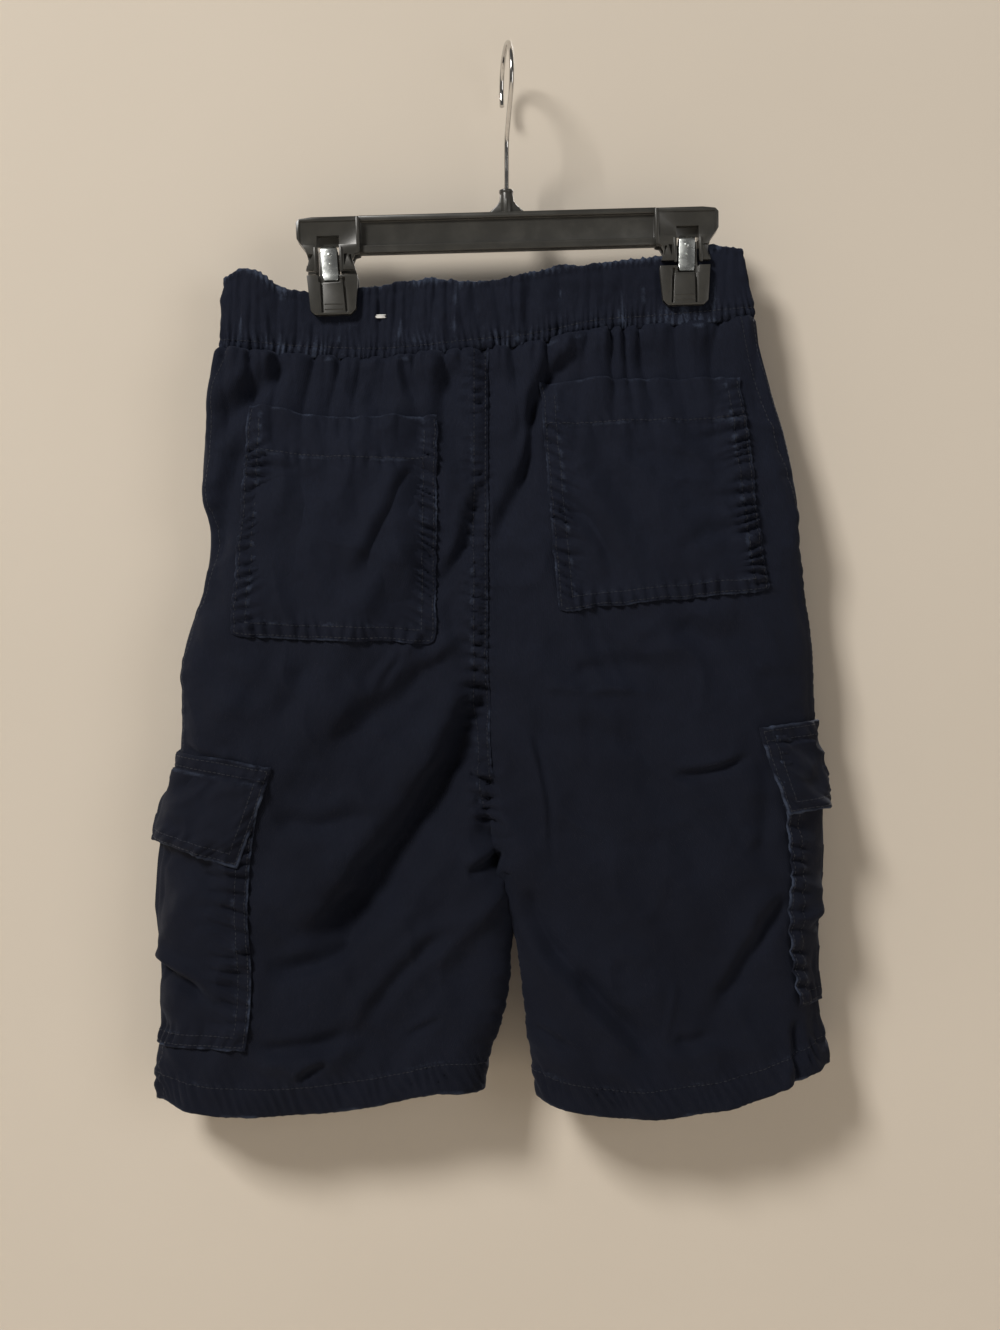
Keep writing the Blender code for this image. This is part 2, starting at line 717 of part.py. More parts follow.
def main():
    clear_scene()
    home = new_collection("cargo_shorts_on_hanger")
    tools = new_collection("cutters")
    navy = material("navy_twill", (0.014, 0.018, 0.034), 0.85)
    plastic = material("black_plastic", (0.012, 0.012, 0.011), 0.38)
    chrome = material("chrome_wire", (0.72, 0.72, 0.72), 0.16, 1.0)
    steel = material("spring_steel", (0.78, 0.80, 0.78), 0.25, 1.0)
    make_waistband(navy, home)
    for side in ("left", "right"):
        for face in ("back", "front"):
            make_panel(side, face, navy, home)
        make_cargo_pocket(side, navy, home)
        make_cargo_flap(side, navy, home)
    for patch in BACK_POCKETS:
        make_back_pocket(patch, navy, home)
    tilt = make_tilt(home)
    make_bar(tilt, plastic, home, tools)
    for side in ("left", "right"):
        make_cap(side, tilt, plastic, home, tools)
        make_spring(side, tilt, steel, home)
        for face in ("back", "front"):
            make_jaw(side, face, tilt, plastic, home, tools)
    make_hook(chrome, home)


main()
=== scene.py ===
"""Looks for boys' pull-on cargo shorts hanging by the waistband from a plastic clip hanger.

The garment's form, repeated here from the part's own sizes, is a smooth hanging shape. Every cloth
piece is a fine grid laid on that form, lifted by its creases, gathers, puckers and seams, and closed
into a thin shell. Garment tables are in millimetres; meshes are made in metres.
"""

from __future__ import annotations

import logging
import math
from collections.abc import Callable, Iterable, Sequence
from dataclasses import dataclass, field
from enum import Enum

import bmesh
import bpy
import numpy as np
from mathutils import Matrix, Vector

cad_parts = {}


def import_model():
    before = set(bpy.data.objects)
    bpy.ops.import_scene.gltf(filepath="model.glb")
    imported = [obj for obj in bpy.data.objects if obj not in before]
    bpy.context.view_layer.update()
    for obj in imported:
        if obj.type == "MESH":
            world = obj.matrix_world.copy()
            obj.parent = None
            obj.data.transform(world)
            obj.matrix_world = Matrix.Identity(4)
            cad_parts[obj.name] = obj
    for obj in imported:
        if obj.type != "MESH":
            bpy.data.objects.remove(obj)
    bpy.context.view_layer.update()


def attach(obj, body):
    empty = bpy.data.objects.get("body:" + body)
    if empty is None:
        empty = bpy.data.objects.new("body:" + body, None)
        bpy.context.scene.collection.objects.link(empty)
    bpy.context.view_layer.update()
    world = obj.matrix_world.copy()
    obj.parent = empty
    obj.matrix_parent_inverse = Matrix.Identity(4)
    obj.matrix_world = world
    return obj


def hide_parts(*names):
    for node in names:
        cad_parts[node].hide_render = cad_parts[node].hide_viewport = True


Array = np.ndarray
Socket, Tree, Node = bpy.types.NodeSocket, bpy.types.NodeTree, bpy.types.Node
Thing, Mesh, Material = bpy.types.Object, bpy.types.Mesh, bpy.types.Material
Triple = tuple[float, float, float]
LOG = logging.getLogger("cargo_shorts")
MM = 0.001
WAIST_ROUND = 660.0
SIDE_INSET = 1.5
PATCH_INSET = 1.6
LINE_STEPS = 40
ROOT = "root"


class Side(Enum):
    """The wearer's left and right; seen from the seat they are on the same hands."""

    LEFT = "left"
    RIGHT = "right"

    @property
    def inwards(self) -> int:
        """The X direction from this side's outer edge towards the middle."""
        return 1 if self is Side.LEFT else -1


class Face(Enum):
    """Which wall of the garment a piece belongs to."""

    BACK = "back"
    FRONT = "front"

    @property
    def turn(self) -> int:
        """The sign of the angles on this face."""
        return 1 if self is Face.BACK else -1


# ---------------------------------------------------------------- the garment's form


def between(low: Array | float, high: Array | float, part: Array | float) -> Array | float:
    """Linear blend from low to high."""
    return low + (high - low) * part


def smooth(part: Array | float) -> Array:
    """A soft step from 0 to 1 as part goes from 0 to 1."""
    part = np.clip(part, 0.0, 1.0)
    return part * part * (3 - 2 * part)


def bell(distance: Array | float, reach: float) -> Array:
    """1 at no distance, falling softly past the reach."""
    return np.exp(-((np.asarray(distance) / reach) ** 2))


class Curve:
    """A smooth curve through a table's rows, level past its ends."""

    def __init__(self, places: Sequence[float], values: Sequence[float]) -> None:
        """Keep the rows in order of place.

        Args:
            places: where each row stands.
            values: the value at each row.
        """
        order = np.argsort(places)
        self.places = np.asarray(places, float)[order]
        self.values = np.asarray(values, float)[order]
        self.slopes = np.gradient(self.values, self.places)

    def __call__(self, place: Array | float) -> Array:
        """The curve's value at each place."""
        place = np.clip(place, self.places[0], self.places[-1])
        i = np.clip(np.searchsorted(self.places, place, side="right") - 1, 0, len(self.places) - 2)
        span = self.places[i + 1] - self.places[i]
        part = (place - self.places[i]) / span
        low, high = self.values[i], self.values[i + 1]
        rise = (1 + 2 * part) * (1 - part) ** 2 * low + part**2 * (3 - 2 * part) * high
        lean = part * (1 - part) ** 2 * self.slopes[i] - part**2 * (1 - part) * self.slopes[i + 1]
        return rise + lean * span


@dataclass(frozen=True)
class Level:
    """The garment's outline at one height, in millimetres; wrap turns the right side seam forwards."""

    z: float
    left_edge: float
    left_seam: float
    right_seam: float
    right_edge: float
    back_depth: float
    front_depth: float
    wrap: float


LEVELS = (
    Level(-116, -171.0, -12.0, -12.0, 142.0, 6.5, 6.5, 0),
    Level(-141, -172.5, -12.0, -12.0, 147.0, 7.5, 7.5, 0),
    Level(-166, -174.0, -13.0, -13.0, 151.0, 8.5, 8.0, 0),
    Level(-188, -175.5, -14.0, -14.0, 155.0, 9.5, 9.0, 0),
    Level(-208, -180.5, -14.0, -14.0, 160.5, 11.0, 10.5, 0),
    Level(-238, -183.5, -14.0, -14.0, 169.5, 13.5, 13.0, 0),
    Level(-268, -185.0, -14.0, -14.0, 175.5, 16.0, 15.5, 0),
    Level(-298, -180.5, -14.0, -14.0, 178.0, 18.5, 17.5, 6),
    Level(-334, -185.0, -14.0, -14.0, 182.0, 20.5, 19.0, 18),
    Level(-366, -195.5, -14.0, -14.0, 186.5, 21.5, 20.0, 30),
    Level(-400, -197.5, -14.0, -14.0, 188.0, 22.0, 21.0, 42),
    Level(-432, -198.5, -12.5, -12.5, 188.5, 22.0, 21.0, 48),
    Level(-465, -203.0, -8.6, -7.4, 190.0, 22.0, 21.0, 52),
    Level(-498, -208.0, -3.8, -2.2, 190.0, 22.5, 21.5, 54),
    Level(-531, -209.5, 3.6, 6.4, 186.5, 23.0, 22.0, 55),
    Level(-560, -208.0, -1.0, 10.0, 188.5, 23.0, 22.0, 56),
    Level(-597, -210.0, -6.0, 14.5, 192.0, 23.5, 22.5, 55),
    Level(-622, -214.0, -11.5, 18.5, 196.0, 24.0, 23.0, 53),
    Level(-655, -213.0, -16.5, 23.0, 197.5, 24.0, 23.0, 52),
)


def edge_curve(*rows: tuple[float, float]) -> Curve:
    """An edge's height along the width, from rows of x and z."""
    return Curve([x for x, _ in rows], [z for _, z in rows])


WAIST_TOP = edge_curve(
    (-172, -142), (-165, -136.5), (-153, -139), (-142, -147), (-126, -150.5), (-100, -149),
    (-49, -144.5), (-10, -144), (20, -138.5), (71, -131.5), (111, -127.5), (139, -122), (147, -124),
)  # fmt: skip
WAIST_SEAM = edge_curve(
    (-175, -186), (-124, -190), (-63, -191), (-24, -187.5), (14, -183.5), (57, -174.5),
    (99, -170.5), (151, -166),
)  # fmt: skip
HEMS = {
    Side.LEFT: edge_curve(
        (-213, -642), (-199, -645.5), (-157, -649), (-123, -648), (-71, -641), (-40, -634),
        (-15, -635),
    ),
    Side.RIGHT: edge_curve(
        (21, -638), (34, -643), (53, -647), (80, -650), (104, -648), (139, -642), (172, -631),
        (197, -621),
    ),
}  # fmt: skip


@dataclass(frozen=True)
class Crease:
    """A fold along a bent line: a valley with a roll beside it, above and to its left when lip is positive.

    Each line starts and ends softly; flare widens it towards its far end.
    """

    x0: float
    z0: float
    x1: float
    z1: float
    x2: float
    z2: float
    half_width: float
    depth: float
    lip: float = 0.5
    flare: float = 0.0
    start: float = 0.22
    end: float = 0.35

    def measure(self, x: Array, z: Array) -> tuple[Array, Array]:
        """Signed distance from the crease's line and the part along it.

        Args:
            x: distances across, in millimetres.
            z: heights, in millimetres.

        Returns:
            The distance, positive above and to the left, and the part from 0 to 1 along the line.
        """
        steps = 12
        t = np.linspace(0, 1, steps + 1)
        middle_x = 2 * self.x1 - (self.x0 + self.x2) / 2
        middle_z = 2 * self.z1 - (self.z0 + self.z2) / 2
        line_x = (1 - t) ** 2 * self.x0 + 2 * t * (1 - t) * middle_x + t**2 * self.x2
        line_z = (1 - t) ** 2 * self.z0 + 2 * t * (1 - t) * middle_z + t**2 * self.z2
        upwards = -(self.x2 - self.x0) * 0.66 - (self.z2 - self.z0) * 0.75
        flip = -1.0 if upwards > 0 else 1.0
        best = np.full(x.shape, 1e9)
        signed = np.zeros(x.shape)
        along = np.zeros(x.shape)
        for k in range(steps):
            run_x, run_z = line_x[k + 1] - line_x[k], line_z[k + 1] - line_z[k]
            length = math.hypot(run_x, run_z)
            part = ((x - line_x[k]) * run_x + (z - line_z[k]) * run_z) / length**2
            part = np.clip(part, 0, 1)
            away_x, away_z = x - line_x[k] - part * run_x, z - line_z[k] - part * run_z
            away = np.hypot(away_x, away_z)
            nearer = away < best
            side = np.sign(run_x * away_z - run_z * away_x) * flip
            best = np.where(nearer, away, best)
            signed = np.where(nearer, away * side, signed)
            along = np.where(nearer, (k + part) / steps, along)
        return signed, along

    def relief(self, x: Array, z: Array) -> Array:
        """How far the crease moves the cloth outwards, in millimetres."""
        out = np.zeros(x.shape)
        reach = 4.5 * self.half_width * (1 + 0.5 * abs(self.flare))
        low_x, high_x = min(self.x0, self.x1, self.x2), max(self.x0, self.x1, self.x2)
        low_z, high_z = min(self.z0, self.z1, self.z2), max(self.z0, self.z1, self.z2)
        near = (x > low_x - reach) & (x < high_x + reach) & (z > low_z - reach) & (z < high_z + reach)
        if not near.any():
            return out
        wobble = 0.25 * self.half_width * soft_noise(x[near], z[near], 16, self.x0)
        signed, along = self.measure(x[near], z[near])
        signed = signed + wobble
        ends = smooth(along / self.start) * smooth((1 - along) / self.end)
        wide = self.half_width * (1 + self.flare * (along - 0.5))
        valley = -bell(signed / wide, 1.0)
        roll = abs(self.lip) * bell(signed / wide - 1.9 * np.sign(self.lip), 1.15)
        out[near] = self.depth * ends * (valley + roll)
        return out


@dataclass(frozen=True)
class Trough:
    """A large fold of the form itself: a plain round trough through three points."""

    x0: float
    z0: float
    x1: float
    z1: float
    x2: float
    z2: float
    half_width: float
    depth: float

    def sunk(self, x: Array, z: Array) -> Array:
        """The trough's depth at each place."""
        points = ((self.x0, self.z0), (self.x1, self.z1), (self.x2, self.z2))
        near = np.full(np.shape(x), 1e9)
        for (ax, az), (bx, bz) in zip(points, points[1:]):
            run_x, run_z = bx - ax, bz - az
            part = np.clip(((x - ax) * run_x + (z - az) * run_z) / (run_x**2 + run_z**2), 0, 1)
            near = np.minimum(near, np.hypot(x - ax - part * run_x, z - az - part * run_z))
        return self.depth * bell(near, self.half_width)


TROUGHS = {
    Face.BACK: (
        Trough(-16, -400, -58, -500, -132, -556, 15, 4.5),
        Trough(-150, -200, -168, -240, -178, -330, 14, 3.0),
        Trough(44, -195, 12, -244, -6, -306, 18, 2.2),
        Trough(-24, -372, -62, -412, -112, -452, 16, 2.5),
        Trough(24, -532, 52, -572, 82, -604, 16, 2.5),
    ),
    Face.FRONT: (
        Trough(-20, -380, -70, -470, -150, -540, 18, 3.5),
        Trough(0, -390, 50, -470, 110, -560, 18, 3.5),
        Trough(-120, -200, -96, -280, -60, -340, 16, 2.5),
    ),
}


@dataclass(frozen=True)
class Form:
    """The hanging garment as one smooth shape, the same as the part's."""

    edge_rounding: float = 46.0
    inseam_rounding: float = 34.0
    rounding_power: float = 2.3
    crotch_curve_top: float = -432.0
    crotch: float = -480.0
    lap: float = 2.6
    crossing: float = 3.0
    waist_level: float = -165.0
    hem_level: float = -640.0
    clip_x: tuple[float, float] = (-107.3, 110.7)
    grip_half_depth: float = 2.9
    grip_half_width: float = 25.0
    grip_fade: float = 46.0
    grip_bottom: float = -172.0
    grip_end: float = -250.0
    lap_end: float = -512.0
    crossing_end: float = -540.0
    crossing_top: float = -440.0
    right_forward: float = 2.6
    left_forward: float = -1.2
    forward_reach: float = 26.0
    columns: dict[str, Curve] = field(
        default_factory=lambda: {
            name: Curve([level.z for level in LEVELS], [getattr(level, name) for level in LEVELS])
            for name in Level.__dataclass_fields__
            if name != "z"
        }
    )

    def rounding(self, distance: Array, reach: float) -> Array:
        """1 well inside the cloth, falling to 0 at a folded edge as a round turn does."""
        part = np.clip(distance / reach, 0, 1)
        return np.sqrt(1 - (1 - part) ** self.rounding_power)

    def leg_closure(self, z: Array) -> Array:
        """0 above the crotch curve and 1 where each leg is a tube."""
        part = (self.crotch_curve_top - z) / (self.crotch_curve_top - self.crotch)
        return 1 - np.sqrt(1 - np.clip(part, 0, 1) ** 2)

    def held(self, x: Array, z: Array) -> Array:
        """1 where a clip presses the layers together, 0 away from it."""
        reach = self.grip_half_width + self.grip_fade
        near = np.maximum(*(smooth((reach - np.abs(x - clip)) / self.grip_fade) for clip in self.clip_x))
        return near * smooth((z - self.grip_end) / (self.grip_bottom - self.grip_end))

    def seam(self, side: Side, z: Array) -> Array:
        """Where one side's middle edge runs: lapped over the other side's as far as the legs cross."""
        lapped = self.lap * smooth((z - self.lap_end) / 30)
        if side is Side.RIGHT:
            starts = smooth((z - self.crossing_end) / 45)
            lapped = lapped + self.crossing * starts * smooth((self.crossing_top - z) / 25)
        return self.columns[side.value + "_seam"](z) + side.inwards * lapped

    def width(self, side: Side, z: Array) -> Array:
        """The distance from one side's outer edge to its seam."""
        return np.abs(self.seam(side, z) - self.columns[side.value + "_edge"](z))

    def surface(self, side: Side, angle: Array, z: Array) -> Array:
        """Points of the outer surface.

        Args:
            side: the wearer's left or right.
            angle: 0 at the outer edge, pi at the middle seam over the seat, -pi over the front.
            z: heights, in millimetres.

        Returns:
            Points in millimetres, with a last axis of three.
        """
        angle, z = np.broadcast_arrays(np.asarray(angle, float), np.asarray(z, float))
        edge = self.columns[side.value + "_edge"](z)
        width = self.width(side, z)
        across = width * (1 - np.cos(angle)) / 2
        x = edge + side.inwards * across
        back = np.sin(angle) >= 0
        turn = self.rounding(across, self.edge_rounding)
        inseam = self.rounding(width - across, self.inseam_rounding)
        shape = turn * between(1.0, inseam, self.leg_closure(z))
        depths = {}
        for face in Face:
            sunk = sum(trough.sunk(x, z) for trough in TROUGHS[face])
            depths[face] = self.columns[face.value + "_depth"](z) - sunk
        depth = np.where(back, depths[Face.BACK], depths[Face.FRONT]) * shape
        depth = between(depth, self.grip_half_depth, self.held(x, z))
        forward = self.right_forward if side is Side.RIGHT else self.left_forward
        forward = forward * bell(width - across, self.forward_reach)
        forward = forward * smooth((z + 560) / 50) * smooth((-436 - z) / 30)
        return np.stack([x, np.where(back, -depth, depth) - forward, z], axis=-1)

    def normals(self, side: Side, angle: Array, z: Array) -> Array:
        """The outward normals of the surface, never read across the middle seam."""
        step = 0.02
        angle = np.clip(angle, step - math.pi + 0.001, math.pi - step - 0.001)
        round_it = self.surface(side, angle + step, z) - self.surface(side, angle - step, z)
        down_it = self.surface(side, angle, z - 2.0) - self.surface(side, angle, z + 2.0)
        normal = np.cross(round_it, down_it)
        normal /= np.linalg.norm(normal, axis=-1, keepdims=True)
        return -normal if side is Side.LEFT else normal

    def even_angles(self, side: Side, start: Array, end: Array, z: Array, stations: Array) -> Array:
        """Angles at even paces along the cloth, one row for each height.

        Args:
            side: the wearer's left or right.
            start: the first angle of each row.
            end: the last angle of each row.
            z: the height of each row.
            stations: parts from 0 to 1 along each row.

        Returns:
            Angles with one row for each height.
        """
        part = np.linspace(0, 1, 181)
        angle = start[:, None] + (end - start)[:, None] * part
        points = self.surface(side, angle, z[:, None])
        gone = run_lengths(points)
        rows = [np.interp(stations * gone[i, -1], gone[i], angle[i]) for i in range(len(z))]
        return np.array(rows)

    def angle_at(self, side: Side, x: Array, z: Array) -> Array:
        """The seat side's angle at a distance across."""
        edge = self.columns[side.value + "_edge"](z)
        return np.arccos(1 - 2 * np.clip((x - edge) / (self.seam(side, z) - edge), 0, 1))

    def reach_angle(self, side: Side, reach: Array, z: Array) -> Array:
        """The angle a reach away from the outer edge, negative over the front."""
        return np.sign(reach) * np.arccos(1 - 2 * np.abs(reach) / self.width(side, z))


FORM = Form()
BAND_FORM = Form(lap=0.0, crossing=0.0)


# ---------------------------------------------------------------- relief of the cloth


def lattice(ix: Array, iy: Array, seed: float) -> Array:
    """A fixed value from -1 to 1 for each lattice corner."""
    mixed = np.sin(ix * 127.1 + iy * 311.7 + seed * 74.7) * 43758.5453
    return 2 * (mixed - np.floor(mixed)) - 1


def soft_noise(x: Array, y: Array, cell: float, seed: float) -> Array:
    """Smooth noise from -1 to 1 whose lumps are about a cell across."""
    u, v = x / cell, y / cell
    iu, iv = np.floor(u), np.floor(v)
    fu, fv = smooth(u - iu), smooth(v - iv)
    low = between(lattice(iu, iv, seed), lattice(iu + 1, iv, seed), fu)
    high = between(lattice(iu, iv + 1, seed), lattice(iu + 1, iv + 1, seed), fu)
    return between(low, high, fv)


def gathers(along: Array, drop: Array, period: float, seed: float, power: float = 0.75) -> Array:
    """Uneven upright folds, from -1 to 1: puffs with sharp valleys between them.

    Args:
        along: distances along the seam that gathers them.
        drop: distances down from it.
        period: the mean pace of the folds.
        seed: picks their places.
        power: under 1 sharpens the valleys.

    Returns:
        The folds' height.
    """
    drift = 0.75 * period * soft_noise(along, drop * 0.5, 3.1 * period, seed)
    drift += 0.3 * period * soft_noise(along, drop * 0.3, 1.3 * period, seed + 3)
    phase = math.pi * (along + drift) / period
    uneven = 0.68 + 0.32 * soft_noise(along, drop * 0.3, 2.2 * period, seed + 6)
    return (2 * np.abs(np.sin(phase)) ** power - 1) * uneven


def crests(along: Array, drop: Array, period: float, seed: float, sharp: float = 0.3) -> Array:
    """Thin upright ridges at uneven paces, from 0 to 1."""
    drift = 0.9 * period * soft_noise(along, drop * 0.45, 2.3 * period, seed)
    phase = math.pi * (along + drift) / period
    patchy = smooth(0.6 + 0.9 * soft_noise(along, drop, 1.6 * period, seed + 4))
    return (1 - np.abs(np.sin(phase)) ** sharp) * patchy


def puckers(along: Array, across: Array, period: float, slant: float, seed: float) -> Array:
    """Short ripples square to a seam, uneven in pace and height, from about -1 to 1."""
    drift = 0.75 * period * soft_noise(along, across * 0.5, 2.1 * period, seed)
    phase = math.pi * (along + slant * across + drift) / period
    uneven = 0.6 + 0.4 * soft_noise(along, across, 2.3 * period, seed + 5)
    return (2 * np.abs(np.sin(phase)) ** 0.9 - 1) * uneven


def crinkle(x: Array, y: Array, cell: float, seed: float) -> Array:
    """A faint net of crease lines, from about -1 to 1."""
    bent_x = x + 0.5 * cell * soft_noise(x, y, 1.4 * cell, seed + 7)
    bent_y = y + 0.5 * cell * soft_noise(x, y, 1.4 * cell, seed + 8)
    return 1 - 3 * np.abs(soft_noise(bent_x, bent_y, cell, seed))


BACK_CREASES = (
    # The deep fold from the seat seam down the left leg, its tail, and the folds beside it.
    Crease(-12, -376, -46, -462, -126, -566, 10.0, 8.4, lip=0.34, flare=0.55, start=0.2, end=0.2),
    Crease(-92, -546, -114, -556, -146, -566, 5.5, 3.6, lip=0.3),
    Crease(-28, -364, -66, -398, -136, -446, 6.5, 1.9, lip=0.6, flare=0.6),
    Crease(-60, -368, -68, -380, -80, -398, 2.6, 1.5),
    Crease(-70, -462, -112, -474, -146, -470, 6, 2.2, lip=0.4),
    Crease(-22, -533, -64, -566, -92, -610, 5.0, 1.9, lip=0.8),
    Crease(-2, -510, -26, -540, -62, -572, 8.0, -2.6, lip=0.0),
    Crease(-48, -352, -58, -366, -78, -384, 3.0, -1.4, lip=0.0),
    Crease(-38, -590, -50, -597, -62, -604, 2.6, 1.3),
    Crease(-158, -606, -118, -607, -84, -594, 5, 2.8, lip=-0.6),
    Crease(-106, -616, -116, -622, -130, -632, 2.6, 1.4),
    Crease(-196, -427, -177, -435, -156, -440, 2.6, 1.6),
    Crease(-190, -350, -168, -384, -132, -400, 7, 1.8),
    Crease(-120, -372, -128, -396, -150, -420, 6, 1.2),
    Crease(6, -492, -8, -516, -30, -536, 5, -1.8, lip=0.3),
    # Bunching at the crotch.
    Crease(-24, -443, -17, -446, -7, -449, 2.3, 2.6, lip=0.7, start=0.15, end=0.2),
    Crease(-19, -457, -14, -460, -8, -458, 3.0, 2.8, lip=0.6, start=0.15, end=0.2),
    Crease(-14, -462, -13, -472, -15, -482, 4.0, 1.8, lip=0.2),
    Crease(-24, -505, -11, -498, 2, -490, 3.6, 2.6, lip=0.7, start=0.15, end=0.3),
    Crease(2, -500, 0, -508, -6, -520, 3.0, 2.0, lip=0.3, start=0.2),
    Crease(14, -416, 24, -452, 28, -504, 1.9, 1.7, lip=0.35),
    # From the waist down the middle and over the right seat.
    Crease(48, -189, 20, -214, 15, -244, 5.0, 3.4, lip=0.5),
    Crease(17, -210, 15, -246, 4, -282, 2.6, 2.6, lip=0.4),
    Crease(16, -246, 2, -282, -8, -308, 5.0, 2.6, lip=0.5),
    Crease(-15, -262, -24, -304, -44, -338, 4.6, 3.4, lip=0.5),
    Crease(-30, -194, -38, -214, -32, -246, 5.0, 1.8),
    Crease(-60, -190, -60, -204, -56, -219, 2.6, 2.4),
    Crease(-86, -196, -82, -210, -80, -224, 6, 2.0, lip=0.3),
    Crease(-128, -190, -152, -212, -178, -240, 6.5, 3.6, lip=0.5, flare=0.5),
    Crease(-156, -230, -170, -284, -178, -344, 6.0, 3.0, lip=0.4),
    Crease(-190, -262, -186, -300, -176, -330, 5, 1.2),
    Crease(-58, -256, -47, -300, -44, -358, 9.0, 3.4, lip=0.25),
    Crease(88, -182, 84, -192, 86, -204, 6, 2.0, lip=0.3),
    Crease(120, -176, 128, -190, 140, -206, 6, 1.8, lip=0.3),
    Crease(-34, -330, -30, -356, -20, -376, 5, 1.4),
    # Under the right pocket and down the right leg.
    Crease(22, -392, 34, -392, 50, -394, 2.4, -1.1, lip=0.0),
    Crease(46, -396, 66, -392, 92, -398, 2.4, -1.2, lip=0.0),
    Crease(34, -386, 66, -378, 100, -380, 6, 1.8, lip=-0.4),
    Crease(100, -352, 124, -360, 156, -356, 6, 1.4),
    Crease(96, -444, 126, -441, 148, -429, 3.0, 2.4, lip=0.5),
    Crease(8, -404, 52, -424, 108, -414, 9, 1.5),
    Crease(14, -510, 22, -540, 46, -566, 5.0, 3.2, lip=0.45),
    Crease(36, -556, 66, -588, 96, -616, 5.5, 3.4, lip=0.45),
    Crease(170, -514, 149, -548, 118, -602, 5.6, 3.6, lip=0.5),
    Crease(100, -602, 112, -604, 126, -596, 4.4, 2.0, lip=-0.4),
    Crease(102, -566, 99, -586, 93, -612, 2.2, -1.0, lip=0.0),
    Crease(18, -594, 30, -602, 44, -612, 2.4, 1.5),
    Crease(30, -466, 76, -486, 120, -476, 10, 1.4),
    Crease(152, -430, 156, -468, 150, -504, 5.5, 1.9, lip=0.3),
    Crease(176, -590, 177, -612, 177, -640, 3.2, 2.6, lip=0.3, end=0.05),
    # Pinches in the sides.
    Crease(-212, -562, -198, -568, -176, -584, 4.2, 4.2, lip=0.5, start=0.05),
    Crease(200, -530, 190, -533, 180, -540, 4.2, 3.0, lip=0.5, start=0.05),
    Crease(-212, -494, -188, -500, -164, -520, 6, 2.4, lip=0.4, start=0.1),
)
FRONT_CREASES = (
    Crease(-12, -384, -44, -462, -128, -540, 9.5, 6.0, lip=0.4, flare=0.8),
    Crease(2, -388, 40, -470, 116, -548, 9, 5.4, lip=0.4, flare=0.8),
    Crease(-30, -356, -70, -398, -132, -436, 7.5, 3.0),
    Crease(6, -352, 52, -400, 118, -430, 7, 3.2),
    Crease(-32, -436, -16, -450, -3, -448, 2.8, 2.6),
    Crease(0, -458, -12, -468, -28, -466, 2.8, 2.4),
    Crease(-2, -486, -12, -502, -26, -508, 3.6, 3.2),
    Crease(-122, -190, -104, -256, -66, -330, 6.5, 3.0),
    Crease(-60, -192, -56, -212, -60, -240, 4.0, 2.4),
    Crease(30, -188, 26, -220, 36, -262, 5.0, 2.4),
    Crease(64, -186, 74, -250, 52, -330, 6, 2.8),
    Crease(150, -190, 162, -256, 150, -330, 6, 2.6),
    Crease(-168, -200, -172, -270, -156, -344, 5.5, 2.8),
    Crease(-30, -540, -80, -584, -136, -600, 6, 2.8),
    Crease(36, -548, 66, -592, 120, -620, 6, 2.6),
    Crease(-190, -372, -150, -408, -100, -404, 6, 2.0),
    Crease(174, -342, 132, -390, 80, -386, 6, 2.2),
    Crease(90, -450, 122, -496, 130, -566, 7, 2.2),
    Crease(-84, -226, -44, -246, -20, -300, 6, 2.0),
    Crease(-158, -420, -122, -466, -104, -540, 7, 2.0),
    Crease(60, -600, 100, -610, 150, -596, 4.5, 1.6, lip=-0.4),
    Crease(-150, -614, -110, -616, -70, -606, 4.5, 1.8, lip=-0.4),
)
CREASES = {Face.BACK: BACK_CREASES, Face.FRONT: FRONT_CREASES}
NOISE_SEED = {Face.BACK: 1.0, Face.FRONT: 41.0}


